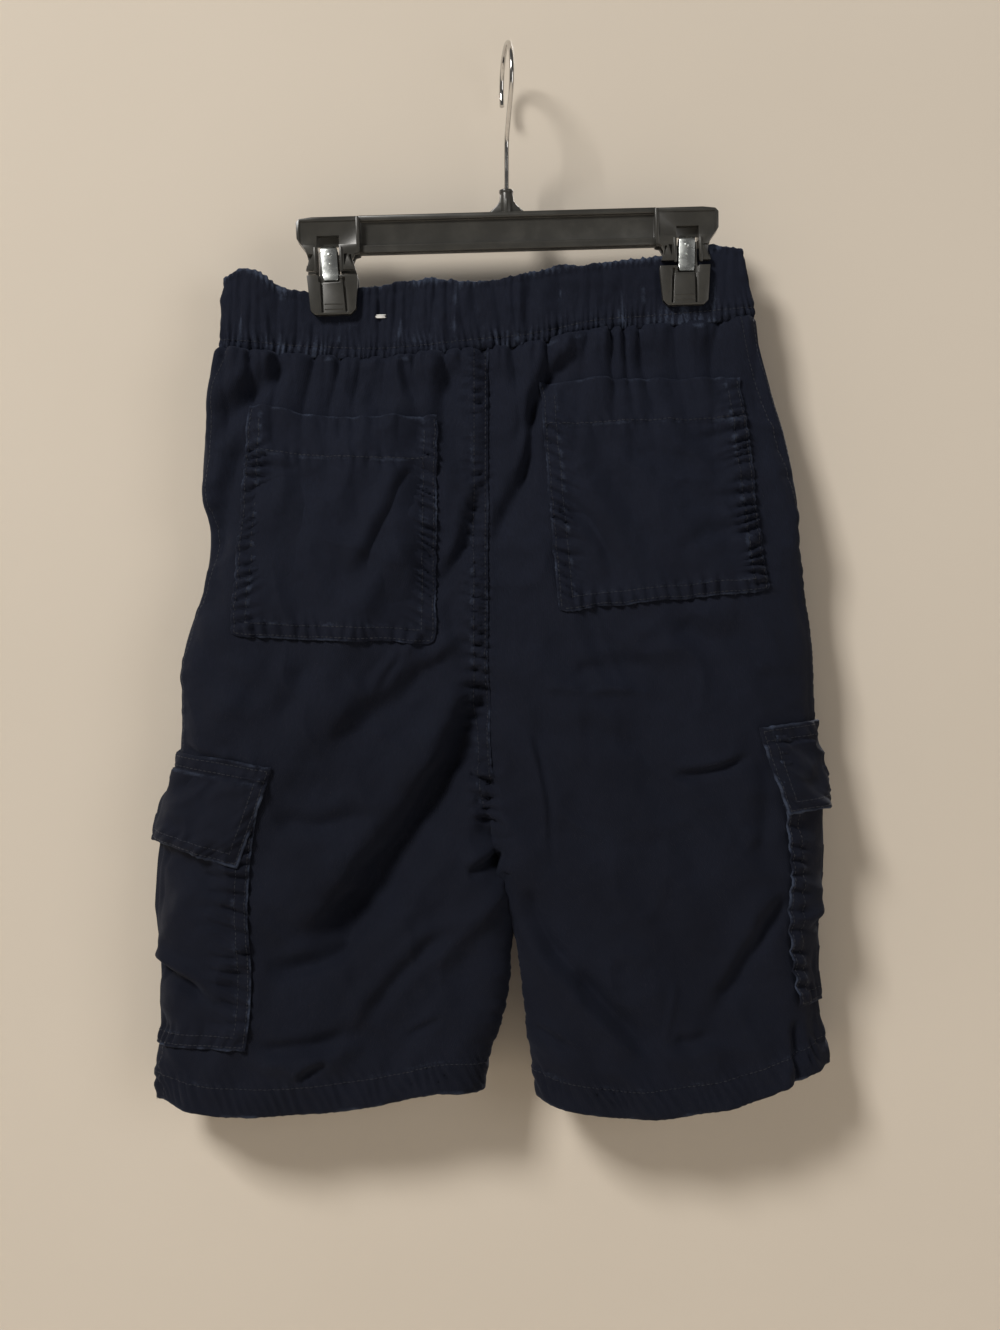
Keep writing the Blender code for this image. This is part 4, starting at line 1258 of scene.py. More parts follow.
@dataclass
class Waistband:
    """The elastic casing: a gathered tube with a crimped top edge, pinched by the clips."""

    columns: int = 820
    rows: int = 34
    thickness: float = 2.0
    pace: float = 14.0
    height: float = 1.25
    stitch_up: float = 6.5
    clip_clear: float = 15.5
    tack_x: float = -76.6
    tack_length: float = 6.8
    tack_passes: tuple[tuple[float, float], ...] = ((-164.8, 0.2), (-165.6, -0.25), (-166.3, 0.1))

    def stations(self) -> tuple[list[Side], Array]:
        """Each column's side and angle, at even paces round the waist."""
        level = np.array([BAND_FORM.waist_level])
        sides: list[Side] = []
        angles: list[Array] = []
        quarter = self.columns // 4
        inner = np.linspace(0, 1, quarter, endpoint=False)
        for side, start, end in (
            (Side.LEFT, 0.0, math.pi),
            (Side.RIGHT, math.pi, 0.0),
            (Side.RIGHT, 0.0, -math.pi),
            (Side.LEFT, -math.pi, 0.0),
        ):
            found = BAND_FORM.even_angles(side, np.array([start]), np.array([end]), level, inner)[0]
            sides += [side] * quarter
            angles.append(found)
        return sides, np.concatenate(angles)

    def grid(self) -> Grid:
        """Lay the casing on the form and gather it."""
        sides, angle = self.stations()
        is_left = np.array([side is Side.LEFT for side in sides])
        down = np.linspace(0, 1, self.rows)[:, None]
        level = np.full(angle.shape, BAND_FORM.waist_level)
        x = each_side(is_left, BAND_FORM.surface, angle, level)[..., 0]
        top, low = WAIST_TOP(x), WAIST_SEAM(x)
        along = np.arange(len(angle)) * WAIST_ROUND / len(angle)
        crimp = 0.7 * soft_noise(along, along * 0, 2.6, 21) + 0.7 * soft_noise(along, along * 0, 8, 22)
        z = between(top + crimp, low, down)
        turned = np.broadcast_to(angle, z.shape)
        points = each_side(is_left, BAND_FORM.surface, turned, z)
        normals = each_side(is_left, BAND_FORM.normals, turned, z)
        height, wear = self.relief(points, down, along, angle)
        points = lifted(points, normals, height)
        uv = np.stack([np.broadcast_to(along, z.shape), -z], axis=-1) * MM
        return Grid(points, grid_normals_closed(points, normals), uv, wear)

    def relief(self, points: Array, down: Array, along: Array, angle: Array) -> tuple[Array, Array]:
        """The gathers and the seam lines of the casing.

        Args:
            points: the smooth form's points.
            down: the part from the top edge to the seam, for each row.
            along: distance round the waist, for each column.
            angle: each column's angle.

        Returns:
            The height and the wear and painted highlight at each point.
        """
        x, z = points[..., 0], points[..., 2]
        on_seat = np.sin(angle) >= 0
        waist = np.where(on_seat, RELIEF.along_waist(points), along + 500.0)
        top_gap = (WAIST_TOP(x) - z).clip(0)
        seam_gap = (z - WAIST_SEAM(x)).clip(0)
        slide = waist + 0.1 * top_gap * soft_noise(waist, z * 0, 30, 15)
        puffs = gathers(slide, z * 0.6, self.pace, 10.0, 0.7)
        small = gathers(slide, z * 0.6, 0.5 * self.pace, 13.0)
        sharp = crests(slide, z * 0.7, 0.8 * self.pace, 17.0)
        dense = gathers(waist, z, 3.9, 19.0)
        low, high = bell(seam_gap - 3, 10), bell(top_gap, 4)
        patch = smooth(0.35 + 1.3 * soft_noise(waist, z * 0.5, 19, 23))
        calm = smooth(0.5 + 1.5 * soft_noise(waist, z * 0.4, 31, 27))
        folds = 0.8 * puffs * (1 - 0.5 * low) + 0.6 * patch * small
        height = 1.7 * self.height * folds * between(0.35, 1, calm)
        height += 1.7 * sharp * (1 - low) * patch + 1.7 * dense * (low + 0.6 * high)
        height += 0.9 * soft_noise(waist, z, 12, 31) + 0.5 * soft_noise(waist, z, 5, 32)
        groove = 0.7 * bell(seam_gap - self.stitch_up, 1.2)
        tuck = 1.3 * bell(seam_gap, 1.8) + 0.5 * bell(top_gap, 1.3) + 0.4 * bell(top_gap - 5, 1.3)
        height = height + 0.4 - groove - tuck
        clip = np.minimum(*(np.abs(x - place) for place in FORM.clip_x))
        gripped = (1 - smooth((clip - self.clip_clear) / 6)) * smooth((z + 172) / 5)
        height = between(height, 0.05 * puffs, gripped)
        # Pale marks along the crimped top edge and the seam are wear; on the crests and fine ticks of the
        # gathers they are painted highlights as well as wear.
        wear = 0.6 * bell(top_gap, 1.2) + 1.1 * sharp * smooth(0.45 + soft_noise(waist, z, 9, 33))
        wear += 0.5 * (dense > 0.3) * (low + high) + 0.3 * bell(seam_gap, 1.6)
        return height, scuffed(wear, waist, z, 35)

    def make(self, looks: Looks, stitches: Stitching) -> Thing:
        """Build the casing and its stitch line."""
        grid = self.grid()
        piece = shell("elastic_waistband", grid, self.thickness, looks.twill, closed=True)
        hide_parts("waistband")
        self.sew(grid, stitches)
        self.tack(grid, looks)
        return piece

    def sew(self, grid: Grid, stitches: Stitching) -> None:
        """Run the casing's stitch line all round, a little above the seam."""
        x, z = grid.points[..., 0], grid.points[..., 2]
        gap = z - WAIST_SEAM(x)
        column = np.arange(grid.columns)
        rows = np.arange(grid.rows)[::-1]
        row = np.array([np.interp(self.stitch_up, gap[::-1, j], rows) for j in column])
        stitches.add(grid, row, column.astype(float))

    def tack(self, grid: Grid, looks: Looks) -> None:
        """The white thread tack left on the seat side, three close passes of thread."""
        x, y, z = (grid.points[..., k] for k in range(3))
        passes = Stitching("white_thread_tack", length=self.tack_length, radius=0.5)
        for level, slip in self.tack_passes:
            near = (np.abs(x - self.tack_x) < 4.0) & (np.abs(z - level) < 2.0) & (y < 0)
            centre = np.array([[self.tack_x + slip, y[near].min() + 0.1, level]])
            passes.places.append((centre, np.array([[1.0, 0.0, 0.03]]), np.array([[0.0, -1.0, 0.0]])))
        passes.make(looks.tack)


def grid_normals_closed(points: Array, like: Array) -> Array:
    """Normals of a grid whose rows run all round."""
    wrapped = np.concatenate([points[:, -1:], points, points[:, :1]], axis=1)
    sides = np.concatenate([like[:, -1:], like, like[:, :1]], axis=1)
    return grid_normals(wrapped, sides)[:, 1:-1]


@dataclass
class Panel:
    """A seat or front panel, from the waist seam to its turned hem."""

    side: Side
    face: Face
    columns: int = 144
    rows: int = 262
    thickness: float = 0.95
    hem_height: float = 18.0
    hem_thickness: float = 1.9
    fell_width: float = 9.5
    middle_pucker: float = 4.0
    side_pucker: float = 0.6
    hem_pucker: float = 1.9

    @property
    def name(self) -> str:
        """The piece's name."""
        cut = "seat" if self.face is Face.BACK else "front"
        return f"{cut}_panel_{self.side.value}"

    def lay(self) -> tuple[Array, Array]:
        """Each point's angle and height, at even paces over the cloth."""
        turn = self.face.turn
        down = np.linspace(0, 1, self.rows)
        across = np.linspace(0, 1, self.columns)
        level = between(-182.0, -640.0, down)
        start = np.zeros(self.rows)
        if self.side is Side.RIGHT:
            start = -np.radians(FORM.columns["wrap"](level))
        end = np.full(self.rows, turn * (math.pi - 0.0008))
        angle = FORM.even_angles(self.side, start + turn * 0.0008, end, level, across)
        top_x = FORM.surface(self.side, angle[0], np.full(self.columns, FORM.waist_level))[:, 0]
        low_x = FORM.surface(self.side, angle[-1], np.full(self.columns, FORM.hem_level))[:, 0]
        top, low = WAIST_SEAM(top_x) + 1.4, HEMS[self.side](low_x)
        return angle, between(top[None, :], low[None, :], down[:, None])

    def seams(self, points: Array, arc: Array) -> tuple[Array, Array, dict[str, Array]]:
        """Relief of the panel's own seams and hem.

        Args:
            points: the smooth form's points.
            arc: distance along each row from the side seam.

        Returns:
            The height, the wear and the distances from each seam.
        """
        x, z = points[..., 0], points[..., 2]
        from_side, from_middle = arc, arc[:, -1:] - arc
        low_x = x[-1:]
        from_hem = z - HEMS[self.side](low_x)
        from_waist = WAIST_SEAM(x) - z
        seed = 50.0 + 7 * (self.side is Side.RIGHT) + 3 * (self.face is Face.FRONT)
        above_crotch = smooth((z - FORM.crotch) / 14)
        felled = self.side is Side.LEFT
        fell = self.fell_width
        middle_on = between(0.15, 1.0, above_crotch)
        beyond = x - FORM.columns[self.side.value + "_seam"](z)
        ripple = puckers(z, beyond, 9.0, 0.3, 50.0) + 0.5 * puckers(z, beyond, 4.6, -0.4, 55.0)
        height = self.middle_pucker * middle_on * bell(beyond + 3.8, 7.5) * ripple
        if felled:
            height += 0.45 * above_crotch * (1 - smooth((from_middle - fell) / 1.6))
            rows = bell(from_middle - SIDE_INSET, 0.9) + bell(from_middle - fell + 1.2, 0.9)
            height -= 0.5 * above_crotch * rows
        else:
            height -= 1.0 * above_crotch * (1 - smooth((beyond - 3.2) / 1.2))
        side_on = 1 - self.under_cargo(points)
        pulled = puckers(z, from_side, 10.5, -0.3, seed + 1)
        height += self.side_pucker * side_on * bell(from_side - 9, 5) * pulled
        if self.face is Face.BACK:
            height += 0.5 * side_on * (1 - smooth((from_side - fell) / 1.4))
            rows = bell(from_side - SIDE_INSET, 0.9) + bell(from_side - fell + 1.2, 0.9)
            height -= 0.45 * side_on * rows
        inside_hem = 1 - smooth((from_hem - self.hem_height + 0.5) / 1.5)
        hem_reach = bell(from_hem - 0.6 * self.hem_height, 0.6 * self.hem_height)
        fine = puckers(x, from_hem, 6.0, 0.5, seed + 2) * smooth(from_hem / 4)
        height += self.hem_pucker * hem_reach * fine * smooth(from_middle / 9)
        height += 0.5 * inside_hem - 0.55 * bell(from_hem - self.hem_height + SIDE_INSET, 1.0)
        height += 1.6 * bell(from_hem, 12) * soft_noise(x, z * 0, 26, seed + 3) * smooth(from_middle / 9)
        height -= 2.6 * (1 - smooth((from_waist + 1.2) / 2.6))
        # Painted highlight and wear on the crests of the middle seam's puckers, along its folded edges.
        worn_and_highlight = smooth(0.5 + ripple)
        wear = 0.6 * bell(from_hem, 1.3) + 0.3 * bell(from_hem - self.hem_height, 1.5)
        edges = bell(from_middle, 1.5) + bell(from_middle - fell, 1.6)
        wear += 0.45 * above_crotch * worn_and_highlight * felled * edges
        wear += 0.3 * side_on * bell(from_side, 1.4) * (0.5 + 0.5 * above_crotch)
        wear += 0.6 * bell(from_waist - 2.0, 1.8) * smooth(0.2 + soft_noise(x, z * 0, 9, seed + 6))
        wear = scuffed(wear, x, z, seed + 8)
        gaps = {"side": from_side, "middle": from_middle, "hem": from_hem}
        return height, wear, gaps

    def under_cargo(self, points: Array) -> Array:
        """1 where the cargo pocket covers the side seam, 0 elsewhere."""
        pocket = CARGO[self.side]
        z = points[..., 2]
        return smooth((pocket.top + 8 - z) / 6) * smooth((z - pocket.low_outer + 3) / 6)

    def grid(self) -> tuple[Grid, dict[str, Array]]:
        """Lay the panel on the form and crease it."""
        angle, z = self.lay()
        points = FORM.surface(self.side, angle, z)
        normals = FORM.normals(self.side, angle, z)
        arc = run_lengths(points)
        seam_height, wear, gaps = self.seams(points, arc)
        shared = shared_relief(angle, points)
        rim = smooth(gaps["side"] / 5) * smooth(gaps["middle"] / 4)
        open_leg = 1 - smooth((z - FORM.crotch) / 20)
        rim = between(smooth(gaps["side"] / 5), rim, open_leg)
        points = lifted(points, normals, seam_height + shared * between(0.15, 1.0, rim))
        uv = np.stack([arc, -z], axis=-1) * MM
        return Grid(points, grid_normals(points, normals), uv, wear), gaps

    def make(self, looks: Looks, stitches: Stitching) -> Thing:
        """Build the panel with its seams' stitch lines."""
        grid, gaps = self.grid()
        thick = between(self.hem_thickness, self.thickness, smooth((gaps["hem"] - self.hem_height) / 2))
        piece = shell(self.name, grid, thick, looks.twill)
        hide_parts(f"{self.face.value}_{self.side.value}")
        self.sew(grid, gaps, stitches)
        self.area(grid)
        return piece

    def area(self, grid: Grid) -> float:
        """The flat area of the cloth that shows, from the panel's own widths."""
        across = np.linalg.norm(np.diff(grid.points[::8], axis=1), axis=2).sum(axis=1).mean()
        drop = np.linalg.norm(np.diff(grid.points, axis=0), axis=2).sum(axis=0).mean()
        return float(across * drop * MM * MM)

    def sew(self, grid: Grid, gaps: dict[str, Array], stitches: Stitching) -> None:
        """Run the double lines beside the seams and the hem's line."""
        rows = np.arange(grid.rows)
        lines = []
        if self.face is Face.BACK:
            lines += [("side", SIDE_INSET), ("side", self.fell_width - 1.2)]
        if self.side is Side.LEFT:
            lines += [("middle", SIDE_INSET), ("middle", self.fell_width - 1.2)]
        for which, away in lines:
            gap = gaps[which]
            order = slice(None, None, 1 if which == "side" else -1)
            numbers = np.arange(grid.columns)[order]
            column = np.array([np.interp(away, gap[i][order], numbers) for i in rows])
            z = grid.points[:, grid.columns // 2, 2]
            shown = np.ones(len(rows), bool)
            if which == "middle":
                shown = z > FORM.crotch + 4
            else:
                shown = self.under_cargo(grid.points)[:, 0] < 0.5
            for run in runs_of(shown):
                stitches.add(grid, rows[run].astype(float), column[run])
        columns = np.arange(grid.columns)
        gap = gaps["hem"]
        away = self.hem_height - SIDE_INSET
        row = np.array([np.interp(away, gap[::-1, j], rows[::-1]) for j in columns])
        stitches.add(grid, row, columns.astype(float))


def runs_of(shown: Array) -> Iterable[slice]:
    """The stretches of a mask that are true, at least four long."""
    edges = np.flatnonzero(np.diff(np.concatenate([[0], shown.astype(int), [0]])))
    for start, end in zip(edges[::2], edges[1::2]):
        if end - start >= 4:
            yield slice(start, end)


def edge_gaps(over: Array, down: Array, width: float, height: float) -> dict[str, Array]:
    """Distances in millimetres from a patch's four edges."""
    return {
        "first": over * width,
        "last": (1 - over) * width,
        "top": down * height,
        "low": (1 - down) * height,
    }


def patch_piece(name: str, node: str, grid: Grid, size: tuple[float, float], thickness: float,
                insets: Sequence[float], looks: Looks, stitches: Stitching) -> Thing:  # fmt: skip
    """Close a patch, put it in its node's place and sew its sides and lower edge.

    Args:
        name: the piece's name.
        node: the node that it stands for.
        grid: the patch.
        size: its width and height in millimetres.
        thickness: its thickness in millimetres.
        insets: how far inside the edges each line of stitches runs.
        looks: every finish.
        stitches: the mesh of stitches to add to.

    Returns:
        The new object.
    """
    piece = shell(name, grid, thickness, looks.twill)
    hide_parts(node)
    width, height = size
    last_row, last_column = grid.rows - 1, grid.columns - 1
    for inset in insets:
        left, right = inset / width * last_column, (1 - inset / width) * last_column
        top, low = inset / height * last_row, (1 - inset / height) * last_row
        down, over = np.linspace(top, low, LINE_STEPS), np.linspace(left, right, LINE_STEPS)
        stitches.add(grid, down, np.full(LINE_STEPS, left))
        stitches.add(grid, down, np.full(LINE_STEPS, right))
        stitches.add(grid, np.full(LINE_STEPS, low), over)
    return piece


@dataclass
class BackPocket:
    """A patch pocket on the seat, with a wide turned band and puckered double-sewn sides."""

    side: Side
    top_outer: tuple[float, float]
    top_inner: tuple[float, float]
    low_outer: tuple[float, float]
    low_inner: tuple[float, float]
    top_dip: float
    band: float = 27.0
    columns: int = 96
    rows: int = 112
    thickness: float = 1.0
    rest: float = 0.35
    fullness: float = 1.5
    corner: float = 3.5
    border: float = 9.0
    side_pucker: float = 3.3
    low_pucker: float = 3.0
    creases: tuple[Crease, ...] = ()

    def size(self) -> tuple[float, float]:
        """The pocket's mean width and height."""
        width = math.dist(self.top_outer, self.top_inner) + math.dist(self.low_outer, self.low_inner)
        height = math.dist(self.top_outer, self.low_outer) + math.dist(self.top_inner, self.low_inner)
        return width / 2, height / 2

    def grid(self) -> Grid:
        """Lay the pocket over its panel and shape it."""
        width, height = self.size()
        over = np.linspace(0, 1, self.columns)[None, :]
        down = np.linspace(0, 1, self.rows)[:, None]
        low_gap = (1 - down) * height
        curve = np.clip(1 - low_gap / self.corner, 0, 1)
        pull = self.corner * (1 - np.sqrt(1 - curve**2)) / width
        spread = between(pull, 1 - pull, over)
        corners = [np.array(c) for c in (self.top_outer, self.top_inner, self.low_outer, self.low_inner)]
        upper = between(corners[0], corners[1], spread[..., None])
        lower = between(corners[2], corners[3], spread[..., None])
        place = between(upper, lower, np.broadcast_to(down, spread.shape)[..., None])
        x, z = place[..., 0], place[..., 1]
        z = z - self.top_dip * np.sin(math.pi * over) * (1 - down) ** 2
        edge = np.abs(1 - 2 * over)
        x = x + edge**4 * (0.9 * soft_noise(z, x * 0, 26, 61) + 0.6 * soft_noise(z, x, 7, 62))
        unevenness = 0.7 * soft_noise(x, z * 0, 18, 63) + 0.4 * soft_noise(x, z, 6, 64)
        z = z + np.abs(1 - 2 * down) ** 4 * unevenness
        angle = FORM.angle_at(self.side, x, z)
        points = FORM.surface(self.side, angle, z)
        normals = FORM.normals(self.side, angle, z)
        own, wear = self.relief(x, z, over, down, width, height)
        base = RELIEF.shared(Face.BACK, points)
        points = lifted(points, normals, base + self.rest + self.thickness + own)
        uv = np.stack([x + 0.13, -z], axis=-1) * MM
        return Grid(points, grid_normals(points, normals), uv, wear)

    def relief(self, x: Array, z: Array, over: Array, down: Array,
               width: float, height: float) -> tuple[Array, Array]:  # fmt: skip
        """The pocket's fullness, border, band and creases."""
        gaps = edge_gaps(over, down, width, height)
        border = np.minimum(np.minimum(gaps["first"], gaps["last"]), gaps["low"])
        seed = 70.0 + (self.side is Side.RIGHT) * 6
        full = np.sin(math.pi * over) * np.sin(math.pi * (0.08 + 0.84 * down))
        lift = self.fullness * np.clip(full, 0, 1) ** 0.8
        in_band = 1 - smooth((gaps["top"] - self.band) / 1.2)
        lift = lift + 0.6 * in_band - 0.35 * bell(gaps["top"] - self.band - 0.8, 1.1)
        lift += 0.5 * bell(gaps["top"], 2.5) * np.sin(math.pi * over)
        ridge = 1 - smooth((border - self.border) / 1.2)
        rows = bell(border - PATCH_INSET, 0.8) + bell(border - self.border + 0.9, 0.9)
        lift += 0.35 * ridge - 0.38 * rows
        sideways = bell(np.minimum(gaps["first"], gaps["last"]) - 5.5, 8.5)
        below_band = smooth((gaps["top"] - 0.6 * self.band) / 10)
        slope = np.where(over < 0.5, -0.35, 0.5)
        ripple = puckers(z + slope * x, x, 6.6, 0.0, seed) + 0.4 * puckers(z, x, 3.4, 0.6, seed + 6)
        along_side = sideways * between(0.3, 1.0, below_band) * smooth(gaps["low"] / 10)
        lift += self.side_pucker * along_side * ripple
        corner = smooth(np.minimum(gaps["first"], gaps["last"]) / 12)
        low_ripple = puckers(x, z, 7.5, 0.25, seed + 1)
        lift += self.low_pucker * corner * bell(gaps["low"] - 4.5, 6.5) * low_ripple
        slack = smooth(0.5 + soft_noise(x, z * 0, 20, seed + 2))
        lift += 0.8 * bell(gaps["top"] - self.band - 5, 6) * slack
        lift += 1.2 * bell(gaps["top"] - 5, 9) * puckers(x, z, 13.0, 0.1, seed + 3)
        lift += 1.1 * bell(gaps["top"] - self.band, 5) * puckers(x, z, 8.0, 0.3, seed + 4)
        for crease in self.creases:
            lift = lift + crease.relief(x, z) * smooth(border / 8)
        # Wear along the edges, band and stitch lines; on the puckers' crests beside the stitching and along
        # the sides the pale marks are painted highlights as well as wear.
        wear = 0.55 * bell(border, 1.1) + 0.65 * bell(gaps["top"], 1.3)
        wear += 0.5 * bell(border - self.border, 1.6) * smooth(0.4 + ripple)
        wear += 0.42 * bell(gaps["top"] - self.band, 1.3) + 0.3 * sideways * smooth(ripple - 0.3)
        return lift, scuffed(wear, x, z, seed + 4)

    def make(self, looks: Looks, stitches: Stitching) -> Thing:
        """Build the pocket and its stitching."""
        grid = self.grid()
        side, size = self.side.value, self.size()
        insets = (PATCH_INSET, self.border - 0.9)
        piece = patch_piece(f"patch_pocket_{side}", f"back_pocket_{side}", grid, size, self.thickness,
                            insets, looks, stitches)  # fmt: skip
        row = np.full(LINE_STEPS, self.band / size[1] * (grid.rows - 1) - 1.0)
        stitches.add(grid, row, np.linspace(2, grid.columns - 3, LINE_STEPS))
        return piece


@dataclass(frozen=True)
class Wrapped:
    """A piece wrapped over a leg's outer edge: reaches over the seat side and the front."""

    top_back: float
    low_back: float
    top_front: float
    low_front: float
    top: float
    low_outer: float
    low_inner: float

    def back(self, down: Array) -> Array:
        """The reach over the seat side, row by row."""
        return between(self.top_back, self.low_back, down)

    def front(self, down: Array) -> Array:
        """The reach over the front, row by row."""
        return between(self.top_front, self.low_front, down)


CARGO = {
    Side.LEFT: Wrapped(53, 55, 46, 46, -446, -608, -609),
    Side.RIGHT: Wrapped(27, 14, 82, 90, -420, -582, -584),
}
FLAPS = {
    Side.LEFT: Wrapped(58, 46, 50, 46, -431, -486, -499),
    Side.RIGHT: Wrapped(37, 23, 84, 78, -412, -464, -467),
}


@dataclass
class CargoPiece:
    """What the cargo pocket and its flap share: a patch laid over the leg's outer edge."""

    side: Side
    shape: Wrapped
    columns: int
    rows: int
    rest: float = 0.55
    fullness: float = 2.4
    fullness_spread: float = 1.6

    def rise(self, reach: Array, z: Array) -> Array:
        """How far the pocket's inner face stands off the panels."""
        pocket = CARGO[self.side]
        down = np.clip((pocket.top - z) / (pocket.top - pocket.low_outer), 0, 1)
        front, back = pocket.front(down), pocket.back(down)
        over = np.clip((reach + front) / (front + back), 0, 1)
        full = np.sin(math.pi * over) * smooth(self.fullness_spread * np.sin(math.pi * down))
        return self.rest + self.fullness * full

    def lay(self, lean: float = 0.0) -> dict[str, Array]:
        """Lay the patch over the outer edge.

        Args:
            lean: how much lower the seat-side end of the top edge sits.

        Returns:
            Its parts over and down, reach, points, normals and size.
        """
        down = np.linspace(0, 1, self.rows)
        over = np.linspace(0, 1, self.columns)
        shape = self.shape
        level = between(shape.top, shape.low_outer, down)
        start = FORM.reach_angle(self.side, shape.back(down), level)
        end = FORM.reach_angle(self.side, -shape.front(down), level)
        angle = FORM.even_angles(self.side, start, end, level, over)
        width = FORM.width(self.side, level)[:, None]
        reach = np.sign(angle) * width * (1 - np.cos(angle)) / 2
        slant = np.abs(reach) / np.where(reach > 0, shape.back(down)[:, None], shape.front(down)[:, None])
        low = between(shape.low_outer, shape.low_inner, slant)
        top = shape.top - lean * slant * (reach > 0)
        z = between(top, low, down[:, None])
        points = FORM.surface(self.side, angle, z)
        normals = FORM.normals(self.side, angle, z)
        arc = run_lengths(points)
        return {
            "over": np.broadcast_to(over[None, :], z.shape),
            "down": np.broadcast_to(down[:, None], z.shape),
            "reach": reach,
            "arc": arc,
            "points": points,
            "normals": normals,
            "base": shared_relief(angle, points),
            "width": arc[:, -1].mean(),
            "height": float(np.abs(z[-1] - z[0]).mean()),
        }


@dataclass
class CargoPocket(CargoPiece):
    """The cargo pocket's bag: a little full, its double-sewn border pressed to the leg."""

    columns: int = 110
    rows: int = 118
    thickness: float = 1.0
    border: float = 8.5

    def make(self, looks: Looks, stitches: Stitching) -> Thing:
        """Build the pocket and its stitching."""
        laid = self.lay()
        points = laid["points"]
        x, z = points[..., 0], points[..., 2]
        width, height = laid["width"], laid["height"]
        gaps = edge_gaps(laid["over"], laid["down"], width, height)
        border = np.minimum(np.minimum(gaps["first"], gaps["last"]), gaps["low"])
        seed = 90.0 + 5 * (self.side is Side.RIGHT)
        own = self.rise(laid["reach"], z) + self.thickness
        own = own + 0.4 * (1 - smooth((border - self.border) / 1.2))
        own -= 0.4 * (bell(border - PATCH_INSET, 0.8) + bell(border - self.border + 0.9, 0.9))
        sideways = bell(np.minimum(gaps["first"], gaps["last"]) - 4.5, 6)
        ripple = puckers(z, x, 10.5, 0.1, seed) + 0.35 * puckers(z, x, 4.6, 0.4, seed + 6)
        wide = 14.0 if self.side is Side.LEFT else 7.0
        own += 3.6 * bell(np.minimum(gaps["first"], gaps["last"]) - 0.6 * wide, wide) * ripple
        own += 1.4 * bell(gaps["low"] - 5, 7) * puckers(laid["arc"], z, 7.5, 0.2, seed + 1)
        own += 0.9 * soft_noise(laid["arc"], z, 26, seed + 2) * smooth(border / 14)
        # Wear along the edges; on the crests of the side puckers and by the inner stitching the pale marks
        # are painted highlights as well as wear.
        wear = 0.85 * bell(border, 1.1) + 0.35 * bell(border - self.border, 1.4) * smooth(0.4 + ripple)
        wear += 0.25 * sideways * smooth(ripple - 0.2)
        wear = scuffed(wear, laid["arc"], z, seed + 4)
        points = lifted(points, laid["normals"], laid["base"] + own)
        uv = np.stack([laid["arc"], -z], axis=-1) * MM
        grid = Grid(points, grid_normals(points, laid["normals"]), uv, wear)
        side, insets = self.side.value, (PATCH_INSET, self.border - 0.9)
        return patch_piece(f"cargo_bag_{side}", f"cargo_pocket_{side}", grid, (width, height),
                           self.thickness, insets, looks, stitches)  # fmt: skip


@dataclass
class CargoFlap(CargoPiece):
    """The flap: two layers, sewn down along a narrow band at its top and free below."""

    columns: int = 120
    rows: int = 56
    thickness: float = 1.7
    border: float = 6.5
    band: float = 10.0
    lean: float = 9.0
    lift_off: float = 1.5

    def make(self, looks: Looks, stitches: Stitching) -> Thing:
        """Build the flap and its stitching."""
        laid = self.lay(self.lean)
        points = laid["points"]
        x, z = points[..., 0], points[..., 2]
        width, height = laid["width"], laid["height"]
        gaps = edge_gaps(laid["over"], laid["down"], width, height)
        border = np.minimum(np.minimum(gaps["first"], gaps["last"]), gaps["low"])
        seed = 110.0 + 5 * (self.side is Side.RIGHT)
        free = smooth((gaps["top"] - self.band) / 2.0)
        own = self.rise(laid["reach"], z) + self.thickness
        own = own + between(0.1, 1.75, free) + self.lift_off * smooth(laid["down"]) * free
        own -= 0.5 * bell(gaps["top"] - self.band, 1.0)
        own += 0.25 * (1 - smooth((border - self.border) / 1.2)) * free
        own -= 0.32 * (bell(border - PATCH_INSET, 0.8) + bell(border - self.border, 0.9)) * free
        own += 1.6 * bell(gaps["low"], 14) * soft_noise(laid["arc"], z * 0, 22, seed)
        own += 1.1 * bell(border - 4, 6) * puckers(laid["arc"] + z, z, 8.5, 0.0, seed + 1)
        own += 1.1 * bell(gaps["top"] - 6, 7) * puckers(laid["arc"], z, 10.0, 0.3, seed + 2)
        crumple = 1.2 * crinkle(laid["arc"], z, 15, seed + 7)
        own += (crumple + 1.5 * soft_noise(laid["arc"], z, 11, seed + 9)) * free
        wear = 0.95 * bell(border, 1.1) * free + 0.5 * bell(gaps["top"], 1.1)
        wear += 0.45 * bell(gaps["top"] - self.band - 1, 1.3) + 0.25 * bell(border - self.border, 1.3)
        wear = scuffed(1.15 * wear, laid["arc"], z, seed + 4)
        points = lifted(points, laid["normals"], laid["base"] + own)
        uv = np.stack([laid["arc"] + 60, -z], axis=-1) * MM
        grid = Grid(points, grid_normals(points, laid["normals"]), uv, wear)
        side, insets = self.side.value, (PATCH_INSET, self.border)
        piece = patch_piece(f"pocket_flap_{side}", f"cargo_flap_{side}", grid, (width, height),
                            self.thickness, insets, looks, stitches)  # fmt: skip
        for up in (2.0, self.band - 2.0):
            row = np.full(LINE_STEPS, up / height * (grid.rows - 1))
            stitches.add(grid, row, np.linspace(1, grid.columns - 2, LINE_STEPS))
        return piece


